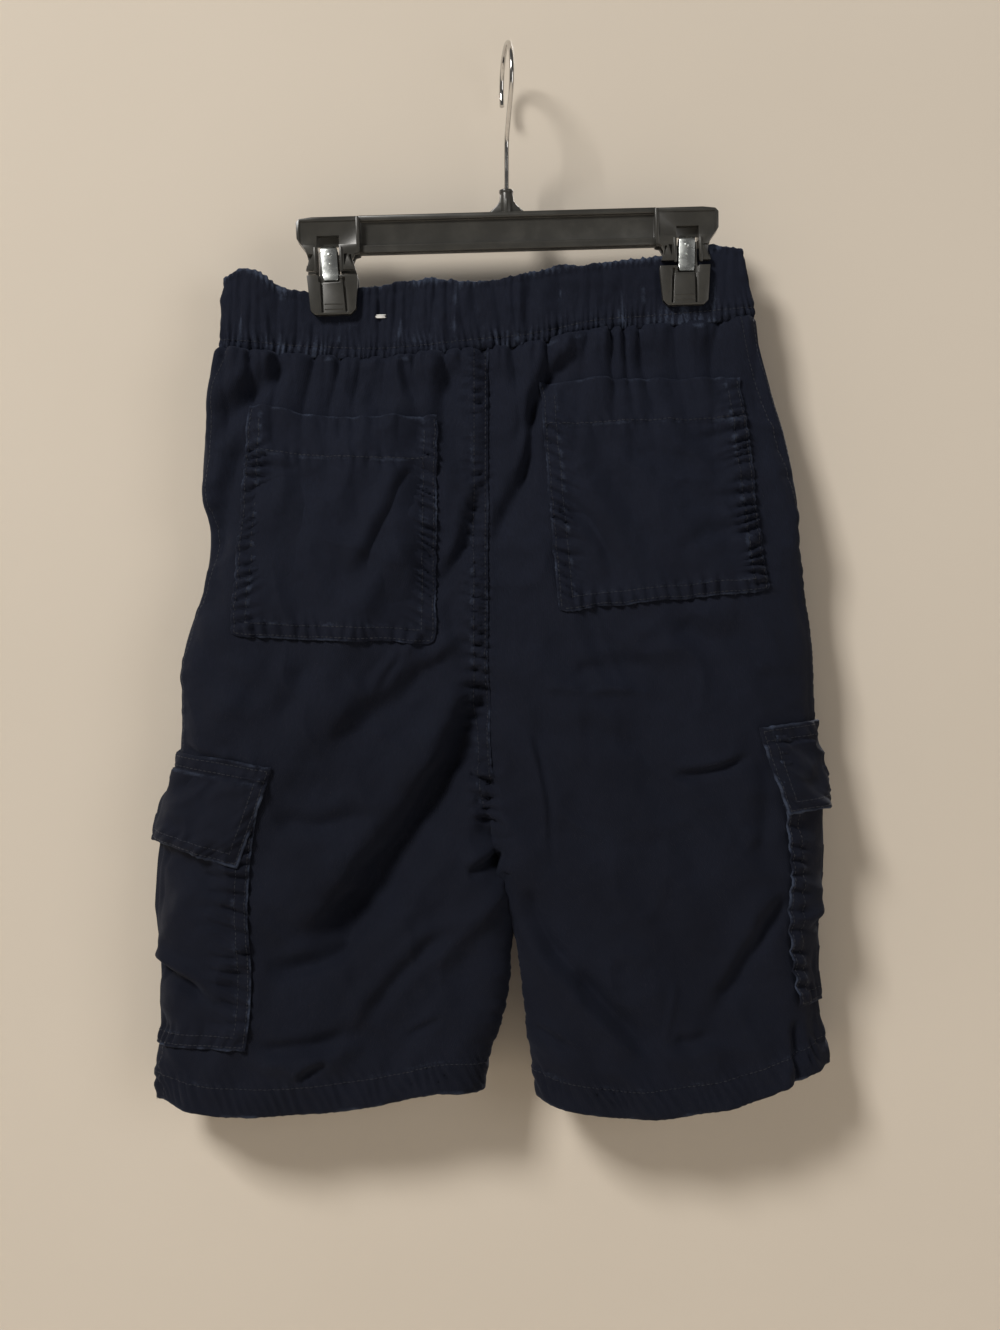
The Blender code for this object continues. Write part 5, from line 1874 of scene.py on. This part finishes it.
@dataclass
class Shorts:
    """The whole garment."""

    looks: Looks

    def build(self) -> None:
        """Build each piece in the order that it is sewn."""
        stitches = Stitching("topstitching")
        makers = [
            Panel(side, face) if face is Face.BACK else Panel(side, face, columns=96, rows=160)
            for side in Side
            for face in Face
        ]
        makers += [
            BackPocket(Side.LEFT, (-156, -221), (-42, -228), (-165, -361), (-43, -365), 4.0,
                       creases=(Crease(-52, -250, -70, -294, -92, -338, 5.5, 5.4, lip=0.75),
                                Crease(-60, -282, -58, -318, -66, -352, 12, 3.4, lip=0.0),
                                Crease(-46, -256, -54, -272, -62, -290, 3.0, 1.6, lip=0.4),
                                Crease(-74, -306, -70, -330, -76, -352, 7, 1.6, lip=0.3),
                                Crease(-140, -258, -136, -296, -146, -344, 21, 5.0, lip=0.0),
                                Crease(-96, -266, -112, -300, -128, -340, 13, -1.6, lip=0.0),
                                Crease(-152, -252, -140, -259, -122, -258, 3.0, 1.5, lip=0.4))),
            BackPocket(Side.RIGHT, (141, -203), (20, -207), (159, -333), (32, -346), 1.0,
                       creases=(Crease(34, -284, 54, -298, 67, -328, 4.2, 2.6, lip=0.5),
                                Crease(64, -206, 58, -244, 56, -276, 6.0, 1.8, lip=0.4),
                                Crease(96, -204, 84, -240, 76, -276, 8.0, 1.6, lip=0.4),
                                Crease(150, -297, 122, -298, 104, -312, 4.6, 2.0, lip=0.5),
                                Crease(148, -229, 128, -238, 112, -240, 2.6, 1.2, lip=0.5),
                                Crease(150, -246, 134, -254, 120, -256, 2.6, 1.1, lip=0.5),
                                Crease(152, -268, 136, -274, 120, -276, 2.4, 1.0, lip=0.5))),
        ]  # fmt: skip
        for side in Side:
            makers.append(CargoPocket(side, CARGO[side]))
            makers.append(CargoFlap(side, FLAPS[side], lean=9.0 if side is Side.LEFT else 4.0))
        makers.append(Waistband())
        for maker in makers:
            piece = maker.make(self.looks, stitches)
            LOG.info("%s: %d faces", piece.name, len(piece.data.polygons))
        stitches.make(self.looks.thread)


# ---------------------------------------------------------------- the hanger, by operators


class Bench:
    """Hard pieces modelled by operators; sizes in millimetres, each object's origin at the frame's."""

    @staticmethod
    def pick(*things: Thing) -> None:
        """Select only these things, the first one active."""
        bpy.ops.object.select_all(action="DESELECT")
        for thing in things:
            thing.select_set(True)
        bpy.context.view_layer.objects.active = things[0]

    @staticmethod
    def take(name: str) -> Thing:
        """Name the new primitive and start to shape all of it."""
        made = bpy.context.object
        made.name = made.data.name = name
        bpy.ops.object.mode_set(mode="EDIT")
        bpy.ops.mesh.select_all(action="SELECT")
        return made

    def block(self, name: str, low: Sequence[float], high: Sequence[float]) -> Thing:
        """A box between two corners."""
        bpy.ops.object.select_all(action="DESELECT")
        bpy.ops.mesh.primitive_cube_add(size=1.0)
        made = self.take(name)
        bpy.ops.transform.resize(value=tuple((b - a) * MM for a, b in zip(low, high)))
        bpy.ops.transform.translate(value=tuple((a + b) / 2 * MM for a, b in zip(low, high)))
        bpy.ops.object.mode_set(mode="OBJECT")
        return made

    def barrel(self, name: str, place: Vector, radius: float, tall: float, low_radius: float | None = None,
               lying: bool = False, sides: int = 28) -> Thing:  # fmt: skip
        """A round upright piece, or one lying along Y, about a middle point."""
        bpy.ops.object.select_all(action="DESELECT")
        low = radius if low_radius is None else low_radius
        bpy.ops.mesh.primitive_cone_add(vertices=sides, radius1=low * MM, radius2=radius * MM,
                                        depth=tall * MM)  # fmt: skip
        made = self.take(name)
        if lying:
            bpy.ops.transform.rotate(value=math.pi / 2, orient_axis="X", center_override=(0, 0, 0))
        bpy.ops.transform.translate(value=place * MM)
        bpy.ops.object.mode_set(mode="OBJECT")
        return made

    def plate(self, name: str, outline: Sequence[tuple[float, float]], start: float, end: float,
              across: bool = True) -> Thing:  # fmt: skip
        """An outline given its depth.

        Args:
            name: the piece's name.
            outline: its corners: X and Z when across, otherwise Y and Z.
            start: where its depth starts, along the other axis.
            end: where its depth ends.
            across: whether the outline faces the viewer.

        Returns:
            The new object.
        """
        bpy.ops.object.select_all(action="DESELECT")
        bpy.ops.mesh.primitive_circle_add(vertices=len(outline), fill_type="NGON")
        made = self.take(name)
        work = bmesh.from_edit_mesh(made.data)
        work.verts.ensure_lookup_table()
        for vert, (u, z) in zip(work.verts, outline):
            vert.co = Vector((u, start, z)) * MM if across else Vector((start, u, z)) * MM
        bmesh.update_edit_mesh(made.data)
        run = (end - start) * MM
        move = (0, run, 0) if across else (run, 0, 0)
        bpy.ops.mesh.extrude_region_move(TRANSFORM_OT_translate={"value": move})
        bpy.ops.mesh.select_all(action="SELECT")
        bpy.ops.mesh.normals_make_consistent(inside=False)
        bpy.ops.object.mode_set(mode="OBJECT")
        return made

    def cut(self, target: Thing, *tools: Thing) -> None:
        """Cut each tool out of the target."""
        for tool in tools:
            self.pick(target)
            step = target.modifiers.new("cut", "BOOLEAN")
            step.object, step.operation, step.solver = tool, "DIFFERENCE", "EXACT"
            bpy.ops.object.modifier_apply(modifier=step.name)
            bpy.data.objects.remove(tool, do_unlink=True)

    def soften(self, target: Thing, width: float, segments: int = 2) -> Thing:
        """Round the target's edges and smooth its shading."""
        self.pick(target)
        step = target.modifiers.new("round", "BEVEL")
        step.width, step.segments = width * MM, segments
        step.limit_method, step.angle_limit = "ANGLE", math.radians(28)
        step.harden_normals = False
        bpy.ops.object.modifier_apply(modifier=step.name)
        bpy.ops.object.shade_smooth_by_angle(angle=math.radians(40))
        return target

    def join(self, name: str, *parts: Thing) -> Thing:
        """Join parts into one piece."""
        self.pick(*parts)
        if len(parts) > 1:
            bpy.ops.object.join()
        parts[0].name = parts[0].data.name = name
        return parts[0]


BENCH = Bench()
# Outlines as X and Z; a clip's are drawn about its own middle, as on the left.
BOSS_OUTLINE = ((-4.0, -90.5), (4.0, -90.5), (4.2, -94.6), (6.4, -97.6), (10.6, -101.2), (10.8, -104),
                (-10.8, -104), (-10.6, -101.2), (-6.4, -97.6), (-4.2, -94.6))  # fmt: skip
CAP_OUTLINE = ((-19.5, -105.6), (-17.6, -103.6), (-10, -102.7), (18.6, -102.7), (18.6, -124.7),
               (15.8, -125.4), (14.3, -128.6), (15.9, -134.9), (-14.0, -134.9), (-12.6, -128.4),
               (-14.0, -122.6), (-19.3, -115.4))  # fmt: skip
CHEEK_GAPS = (
    ((-13.6, -125.2), (-9.6, -125.2), (-13.2, -133.6)),
    ((9.2, -125.2), (11.4, -125.2), (9.4, -132.4)),
    ((12.2, -126.0), (13.6, -125.6), (14.2, -132.2)),
)
PAD_OUTLINE = ((-13.7, -138.0), (17.0, -138.0), (17.2, -141.5), (15.7, -159.0), (12.6, -162.2),
               (-9.2, -162.2), (-11.9, -159.4))  # fmt: skip
PAD_GROOVES = (
    ((-5.6, -139.5), (-4.1, -139.5), (-4.0, -160.8), (-5.2, -160.8)),
    ((8.0, -139.5), (9.5, -139.5), (10.6, -160.6), (9.4, -160.6)),
)
TONGUE_OUTLINE = ((-5.9, -123.5), (5.6, -123.5), (5.9, -150), (-6.1, -150))


@dataclass(frozen=True)
class HangerSize:
    """The hanger's sizes: the same bar, clips and wire as the part's."""

    tilt: float = math.radians(1.6)
    pivot: float = -95.0
    clip_reach: float = 109.0
    bar_half: float = 91.0
    bar_top: float = -101.5
    bar_bottom: float = -124.5
    bar_depth: float = 9.0
    web: float = 3.4
    top_flange: float = 3.4
    bottom_flange: float = 4.7
    cap_depth: float = 16.0
    jaw_face: float = 3.3
    pad_depth: float = 5.2
    groove_depth: float = 2.2
    tongue_depth: float = 2.2
    leaf: float = 6.5
    leaf_top: float = -120.0
    leaf_bottom: float = -141.0
    leaf_thickness: float = 0.8
    wire: float = 1.5
    hook_radius: float = 22.5
    bend_radius: float = 15.0
    bend_start: float = -62.0
    foot: float = -97.0
    tip_angle: float = math.radians(-24)
    swivel: float = math.radians(7.7)

    @property
    def lean(self) -> Matrix:
        """The turn that hangs the bar a little off level."""
        middle = Matrix.Translation((0, 0, self.pivot * MM))
        return middle @ Matrix.Rotation(-self.tilt, 4, "Y") @ middle.inverted()


@dataclass
class Hanger:
    """The clip hanger: an I-section bar, a boss, two clips and a wire hook."""

    looks: Looks
    size: HangerSize = field(default_factory=HangerSize)

    def finish(self, piece: Thing, look: Material, slot: str, *nodes: str,
               level: bool = False) -> None:  # fmt: skip
        """Tilt a finished piece, give it its look and put it in place of its nodes."""
        if not level:
            piece.data.transform(self.size.lean)
        piece.data.materials.clear()
        piece.data.materials.append(look)
        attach(piece, ROOT)
        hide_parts(*nodes)
        LOG.info("%s: %d faces", piece.name, len(piece.data.polygons))

    def bar(self) -> None:
        """The bar with its two recessed faces and the boss that holds the wire."""
        size = self.size
        half, deep = size.bar_half, size.bar_depth / 2
        beam = BENCH.block("beam", (-half, -deep, size.bar_bottom), (half, deep, size.bar_top))
        for facing in (-1, 1):
            near, far = sorted((facing * size.web / 2, facing * 12))
            low, high = size.bar_bottom + size.bottom_flange, size.bar_top - size.top_flange
            BENCH.cut(beam, BENCH.block("recess", (-half + 1.2, near, low), (half - 1.2, far, high)))
        BENCH.soften(beam, 1.15, 4)
        parts = [beam]
        web = BENCH.plate("boss_web", BOSS_OUTLINE, -2.4, 2.4)
        parts.append(BENCH.soften(web, 0.5, 2))
        stem = BENCH.barrel("boss_stem", Vector((0, 0, -95.5)), 3.9, 16.0, 4.3)
        parts.append(BENCH.soften(stem, 0.5, 3))
        ring = BENCH.barrel("boss_ring", Vector((0, 0, -88.6)), 4.3, 2.2)
        parts.append(BENCH.soften(ring, 0.5, 3))
        for facing in (-1, 1):
            fin = BENCH.plate("boss_fin", ((facing * 3.5, -91), (facing * 4.3, -95), (facing * 4.5, -103),
                                           (0, -103), (0, -91)), -0.6, 0.6, across=False)  # fmt: skip
            parts.append(BENCH.soften(fin, 0.25, 2))
        self.finish(BENCH.join("hanger_beam", *parts), self.looks.plastic, "black_plastic", "hanger_bar")

    def place(self, piece: Thing, side: Side) -> None:
        """Move a clip piece, drawn about X = 0 for the left clip, to its end of the bar."""
        BENCH.pick(piece)
        bpy.ops.object.mode_set(mode="EDIT")
        bpy.ops.mesh.select_all(action="SELECT")
        reach = self.size.clip_reach * MM
        if side is Side.RIGHT:
            bpy.ops.transform.mirror(orient_type="GLOBAL", constraint_axis=(True, False, False),
                                     center_override=(0, 0, 0))  # fmt: skip
            bpy.ops.mesh.normals_make_consistent(inside=False)
        bpy.ops.transform.translate(value=(reach if side is Side.RIGHT else -reach, 0, 0))
        bpy.ops.object.mode_set(mode="OBJECT")

    def cap(self, side: Side) -> None:
        """The bar's end: a block with a window, a slot for the cloth and notched cheeks with struts."""
        size = self.size
        deep = size.cap_depth / 2
        cap = BENCH.plate("cap", CAP_OUTLINE, -deep, deep)
        holes = [
            BENCH.block("window", (-7.2, -20, -150), (6.4, 20, -119.4)),
            BENCH.block("slot", (-40, -size.jaw_face, -150), (40, size.jaw_face, -121.5)),
        ]
        for facing in (-1, 1):
            near, far = sorted((facing * (size.jaw_face - 1.5), facing * 20))
            holes.append(BENCH.block("recess", (-7.2, near, -119.5), (6.4, far, -114.0)))
            near, far = sorted((facing * (deep - 0.7), facing * 20))
            holes.append(BENCH.block("panel", (-17.4, near, -119.6), (16.9, far, -105.2)))
            inner = sorted((facing * (size.jaw_face + 1.5), facing * 20))
            holes += [BENCH.plate("cheek_gap", corners, *inner) for corners in CHEEK_GAPS]
        BENCH.cut(cap, *holes)
        BENCH.soften(cap, 0.4, 2)
        parts = [cap]
        for facing in (-1, 1):
            front = facing * deep
            near, far = sorted((front - facing * 2.2, front + facing * 0.6))
            for x in (-8.3, 7.5):
                strut = BENCH.block("strut", (x - 0.75, near, -136.0), (x + 0.75, far, -121.0))
                parts.append(BENCH.soften(strut, 0.3, 2))
        collar = BENCH.block("collar", (16.9, -deep - 0.25, -124.4), (18.9, deep + 0.25, -102.8))
        parts.append(BENCH.soften(collar, 0.35, 2))
        piece = BENCH.join(f"clip_head_{side.value}", *parts)
        self.place(piece, side)
        self.finish(piece, self.looks.plastic, "black_plastic", f"clip_cap_{side.value}")

    def jaw(self, side: Side, face: Face) -> None:
        """A gripping pad: two side panels, a sunk middle panel between grooves, and its tongue."""
        size = self.size
        out = -face.turn
        face_y, back_y = out * size.jaw_face, out * (size.jaw_face + size.pad_depth)
        pad = BENCH.plate("pad", PAD_OUTLINE, face_y, back_y)
        shallow = sorted((back_y - out * 0.9, out * 30))
        room = sorted((face_y + out * 2.3, out * 30))
        deep = sorted((back_y - out * size.groove_depth, out * 30))
        holes = [BENCH.plate("groove", corners, *deep) for corners in PAD_GROOVES]
        holes.append(BENCH.block("middle", (-4.4, shallow[0], -143.6), (8.4, shallow[1], -140.2)))
        holes.append(BENCH.block("room", (-6.6, room[0], -142.2), (6.2, room[1], -114.0)))
        BENCH.cut(pad, *holes)
        BENCH.soften(pad, 0.45, 3)
        tongue = BENCH.plate("tongue", TONGUE_OUTLINE, face_y, face_y + out * size.tongue_depth)
        parts = [pad, BENCH.soften(tongue, 0.4, 2)]
        for low in (-156.2, -159.4):
            y = sorted((back_y - out * 0.6, back_y + out * 0.25))
            tread = BENCH.block("tread", (-3.4, y[0], low), (8.0, y[1], low + 0.7))
            parts.append(BENCH.soften(tread, 0.2, 1))
        piece = BENCH.join(f"clip_pad_{face.value}_{side.value}", *parts)
        self.place(piece, side)
        self.finish(piece, self.looks.plastic, "black_plastic", f"clip_jaw_{face.value}_{side.value}")

    def spring(self, side: Side) -> None:
        """The bright strip bent over both tongues, with turned-out lips and a pressed dimple."""
        size = self.size
        leaf, top, low, thick = size.leaf, size.leaf_top, size.leaf_bottom, size.leaf_thickness
        outer = [(-leaf - 0.9, low - 0.2), (-leaf - 0.15, low + 3.2), (-leaf, low + 4.4)]
        inner = [(-leaf - 0.9 + thick, low - 0.4), (-leaf + thick - 0.15, low + 3.0)]
        inner.append((-leaf + thick, low + 4.2))
        for k in range(7):
            turn = math.radians(15 * k)
            outer.append((-(leaf - 3) - 3 * math.cos(turn), top - 3 + 3 * math.sin(turn)))
            inner.append((-(leaf - 3) - 2.2 * math.cos(turn), top - 3 + 2.2 * math.sin(turn)))
        outline = outer + [(-y, z) for y, z in outer[::-1]]
        outline += [(-y, z) for y, z in inner] + inner[::-1]
        strip = BENCH.plate("strip", outline, -5.1, 4.5, across=False)
        BENCH.pick(strip)
        bpy.ops.object.mode_set(mode="EDIT")
        work = bmesh.from_edit_mesh(strip.data)
        for vert in work.verts:
            drop = (vert.co.z / MM - top) / (low - top)
            vert.co.x += 0.0011 * drop
            if vert.co.z / MM < low + 1.5:
                vert.co.x = 0.0008 + (vert.co.x - 0.0008) * 0.86
        bmesh.update_edit_mesh(strip.data)
        bpy.ops.object.mode_set(mode="OBJECT")
        BENCH.soften(strip, 0.2, 2)
        parts = [strip]
        for facing in (-1, 1):
            for x, z, radius in ((0.3, -125.5, 1.25), (0.5, -131.0, 0.6)):
                place = Vector((x, facing * (leaf + 0.05), z))
                dimple = BENCH.barrel("dimple", place, radius, 0.5, lying=True, sides=20)
                parts.append(BENCH.soften(dimple, 0.2, 2))
        piece = BENCH.join(f"spring_strip_{side.value}", *parts)
        self.place(piece, side)
        self.finish(piece, self.looks.steel, "spring_steel", f"clip_spring_{side.value}")

    def hook(self) -> None:
        """The round wire, bent from the boss up and over, with a rounded tip."""
        size = self.size
        bend = Vector((-size.bend_radius, size.bend_start))
        crown = Vector((0.0, -(size.hook_radius - size.wire)))
        apart = crown - bend
        reach = (size.hook_radius + size.bend_radius) / apart.length
        turn = math.atan2(apart.y, apart.x) - math.acos(reach)
        path = [Vector((0.0, size.foot)), Vector((0.0, -80.0))]
        for k in range(9):
            angle = turn * k / 8
            path.append(bend + size.bend_radius * Vector((math.cos(angle), math.sin(angle))))
        for k in range(1, 49):
            angle = between(math.pi + turn, size.tip_angle, k / 48)
            path.append(crown + size.hook_radius * Vector((math.cos(angle), math.sin(angle))))
        drawn = bpy.data.curves.new("hook_wire", "CURVE")
        drawn.dimensions, drawn.bevel_depth, drawn.bevel_resolution = "3D", size.wire * MM, 5
        drawn.use_fill_caps = True
        spline = drawn.splines.new("POLY")
        spline.points.add(len(path) - 1)
        for point, (forward, up) in zip(spline.points, path):
            point.co = (0.0, forward * MM, up * MM, 1.0)
        wire = bpy.data.objects.new("hook_wire", drawn)
        bpy.context.scene.collection.objects.link(wire)
        BENCH.pick(wire)
        bpy.ops.object.convert(target="MESH")
        wire = bpy.context.object
        BENCH.soften(wire, 0.4, 3)
        wire.data.transform(Matrix.Rotation(size.swivel, 4, "Z"))
        self.finish(wire, self.looks.chrome, "chrome_wire", "hanger_hook", level=True)

    def build(self) -> None:
        """Build every piece of the hanger."""
        self.bar()
        for side in Side:
            self.cap(side)
            self.spring(side)
            for face in Face:
                self.jaw(side, face)
        self.hook()


# ---------------------------------------------------------------- stage


@dataclass(frozen=True)
class Lamp:
    """A soft square area light aimed at the object's middle."""

    name: str
    place: Triple
    size: float
    power: float
    colour: Triple = (1.0, 0.97, 0.94)

    def build(self, aim: Vector) -> None:
        """Hang the lamp and turn it to its aim."""
        data = bpy.data.lights.new(self.name, "AREA")
        data.size = self.size
        data.energy = self.power
        data.color = self.colour
        lamp = bpy.data.objects.new(self.name, data)
        place = Vector(self.place)
        lamp.location = place
        lamp.rotation_euler = (aim - place).to_track_quat("-Z", "Y").to_euler()
        bpy.context.scene.collection.objects.link(lamp)


LAMPS = (
    Lamp("key", (-1.9, -2.5, 1.85), 0.9, 136, (1.0, 0.97, 0.92)),
    Lamp("fill", (1.9, -2.2, -0.2), 1.4, 13),
    Lamp("behind", (1.2, 2.6, 1.4), 0.9, 120),
    Lamp("behind_left", (-2.2, 2.0, -0.2), 1.4, 14),
)


@dataclass
class Stage:
    """Backdrop, floor, soft lights and camera."""

    wall_y: float = 0.036
    floor_z: float = -0.98
    eye: Triple = (-0.004, -1.13, -0.378)
    lens: float = 50.0
    middle: Triple = (0.0, 0.0, -0.38)
    wall_low: Triple = (0.55, 0.495, 0.425)
    wall_high: Triple = (0.6, 0.545, 0.475)

    def backdrop(self) -> None:
        """A pale wall that only shows from in front, and a pale floor, both with painted fold shading."""
        made, kit, shader = start_material("pale_backdrop")
        place = kit.add("ShaderNodeTexCoord").outputs["Object"]
        # Painted shade: a broad noise mixes a shaded and a lit tone of the sheet, standing in for the
        # shading of folds on the flat wall and floor.
        folds = kit.noise(place, Scale=3.0, Detail=2.0)
        tone = kit.mix(folds.outputs[0], self.wall_low, self.wall_high)
        kit.link(tone, shader.inputs["Base Color"])
        shader.inputs["Roughness"].default_value = 0.95
        shader.inputs["Specular IOR Level"].default_value = 0.1
        clear = kit.add("ShaderNodeBsdfTransparent")
        both = kit.add("ShaderNodeMixShader")
        geometry = kit.add("ShaderNodeNewGeometry")
        path = kit.add("ShaderNodeLightPath")
        unseen = kit.math("MAXIMUM", geometry.outputs["Backfacing"], path.outputs["Is Shadow Ray"])
        kit.link(unseen, both.inputs[0])
        kit.link(shader.outputs[0], both.inputs[1])
        kit.link(clear.outputs[0], both.inputs[2])
        kit.link(both.outputs[0], made.node_tree.nodes["Material Output"].inputs["Surface"])
        for name, corners in (
            ("wall", ((-3, self.wall_y, self.floor_z), (3, self.wall_y, self.floor_z),
                      (3, self.wall_y, 2.0), (-3, self.wall_y, 2.0))),
            ("floor", ((-3, -3, self.floor_z), (3, -3, self.floor_z),
                       (3, self.wall_y, self.floor_z), (-3, self.wall_y, self.floor_z))),
        ):  # fmt: skip
            mesh = bpy.data.meshes.new(name)
            mesh.from_pydata(corners, [], [(0, 1, 2, 3)])
            mesh.materials.append(made)
            sheet = bpy.data.objects.new(name, mesh)
            bpy.context.scene.collection.objects.link(sheet)

    def build(self) -> None:
        """Set the backdrop, the lights, the world and the camera."""
        self.backdrop()
        for lamp in LAMPS:
            lamp.build(Vector(self.middle))
        world = bpy.data.worlds.new("soft_room")
        world.use_nodes = True
        background = world.node_tree.nodes["Background"]
        background.inputs["Color"].default_value = (0.95, 0.93, 0.9, 1.0)
        background.inputs["Strength"].default_value = 0.085
        scene = bpy.context.scene
        scene.world = world
        scene.view_settings.view_transform = "Standard"
        lens = bpy.data.cameras.new("camera")
        lens.lens = self.lens
        camera = bpy.data.objects.new("camera", lens)
        camera.location = self.eye
        camera.rotation_euler = (math.radians(90), 0, 0)
        scene.collection.objects.link(camera)
        scene.camera = camera


def main() -> None:
    """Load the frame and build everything."""
    logging.basicConfig(level=logging.INFO, format="%(message)s")
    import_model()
    bpy.ops.object.select_all(action="DESELECT")
    looks = build_looks()
    Shorts(looks).build()
    Hanger(looks).build()
    Stage().build()


if __name__ == "__main__":
    main()
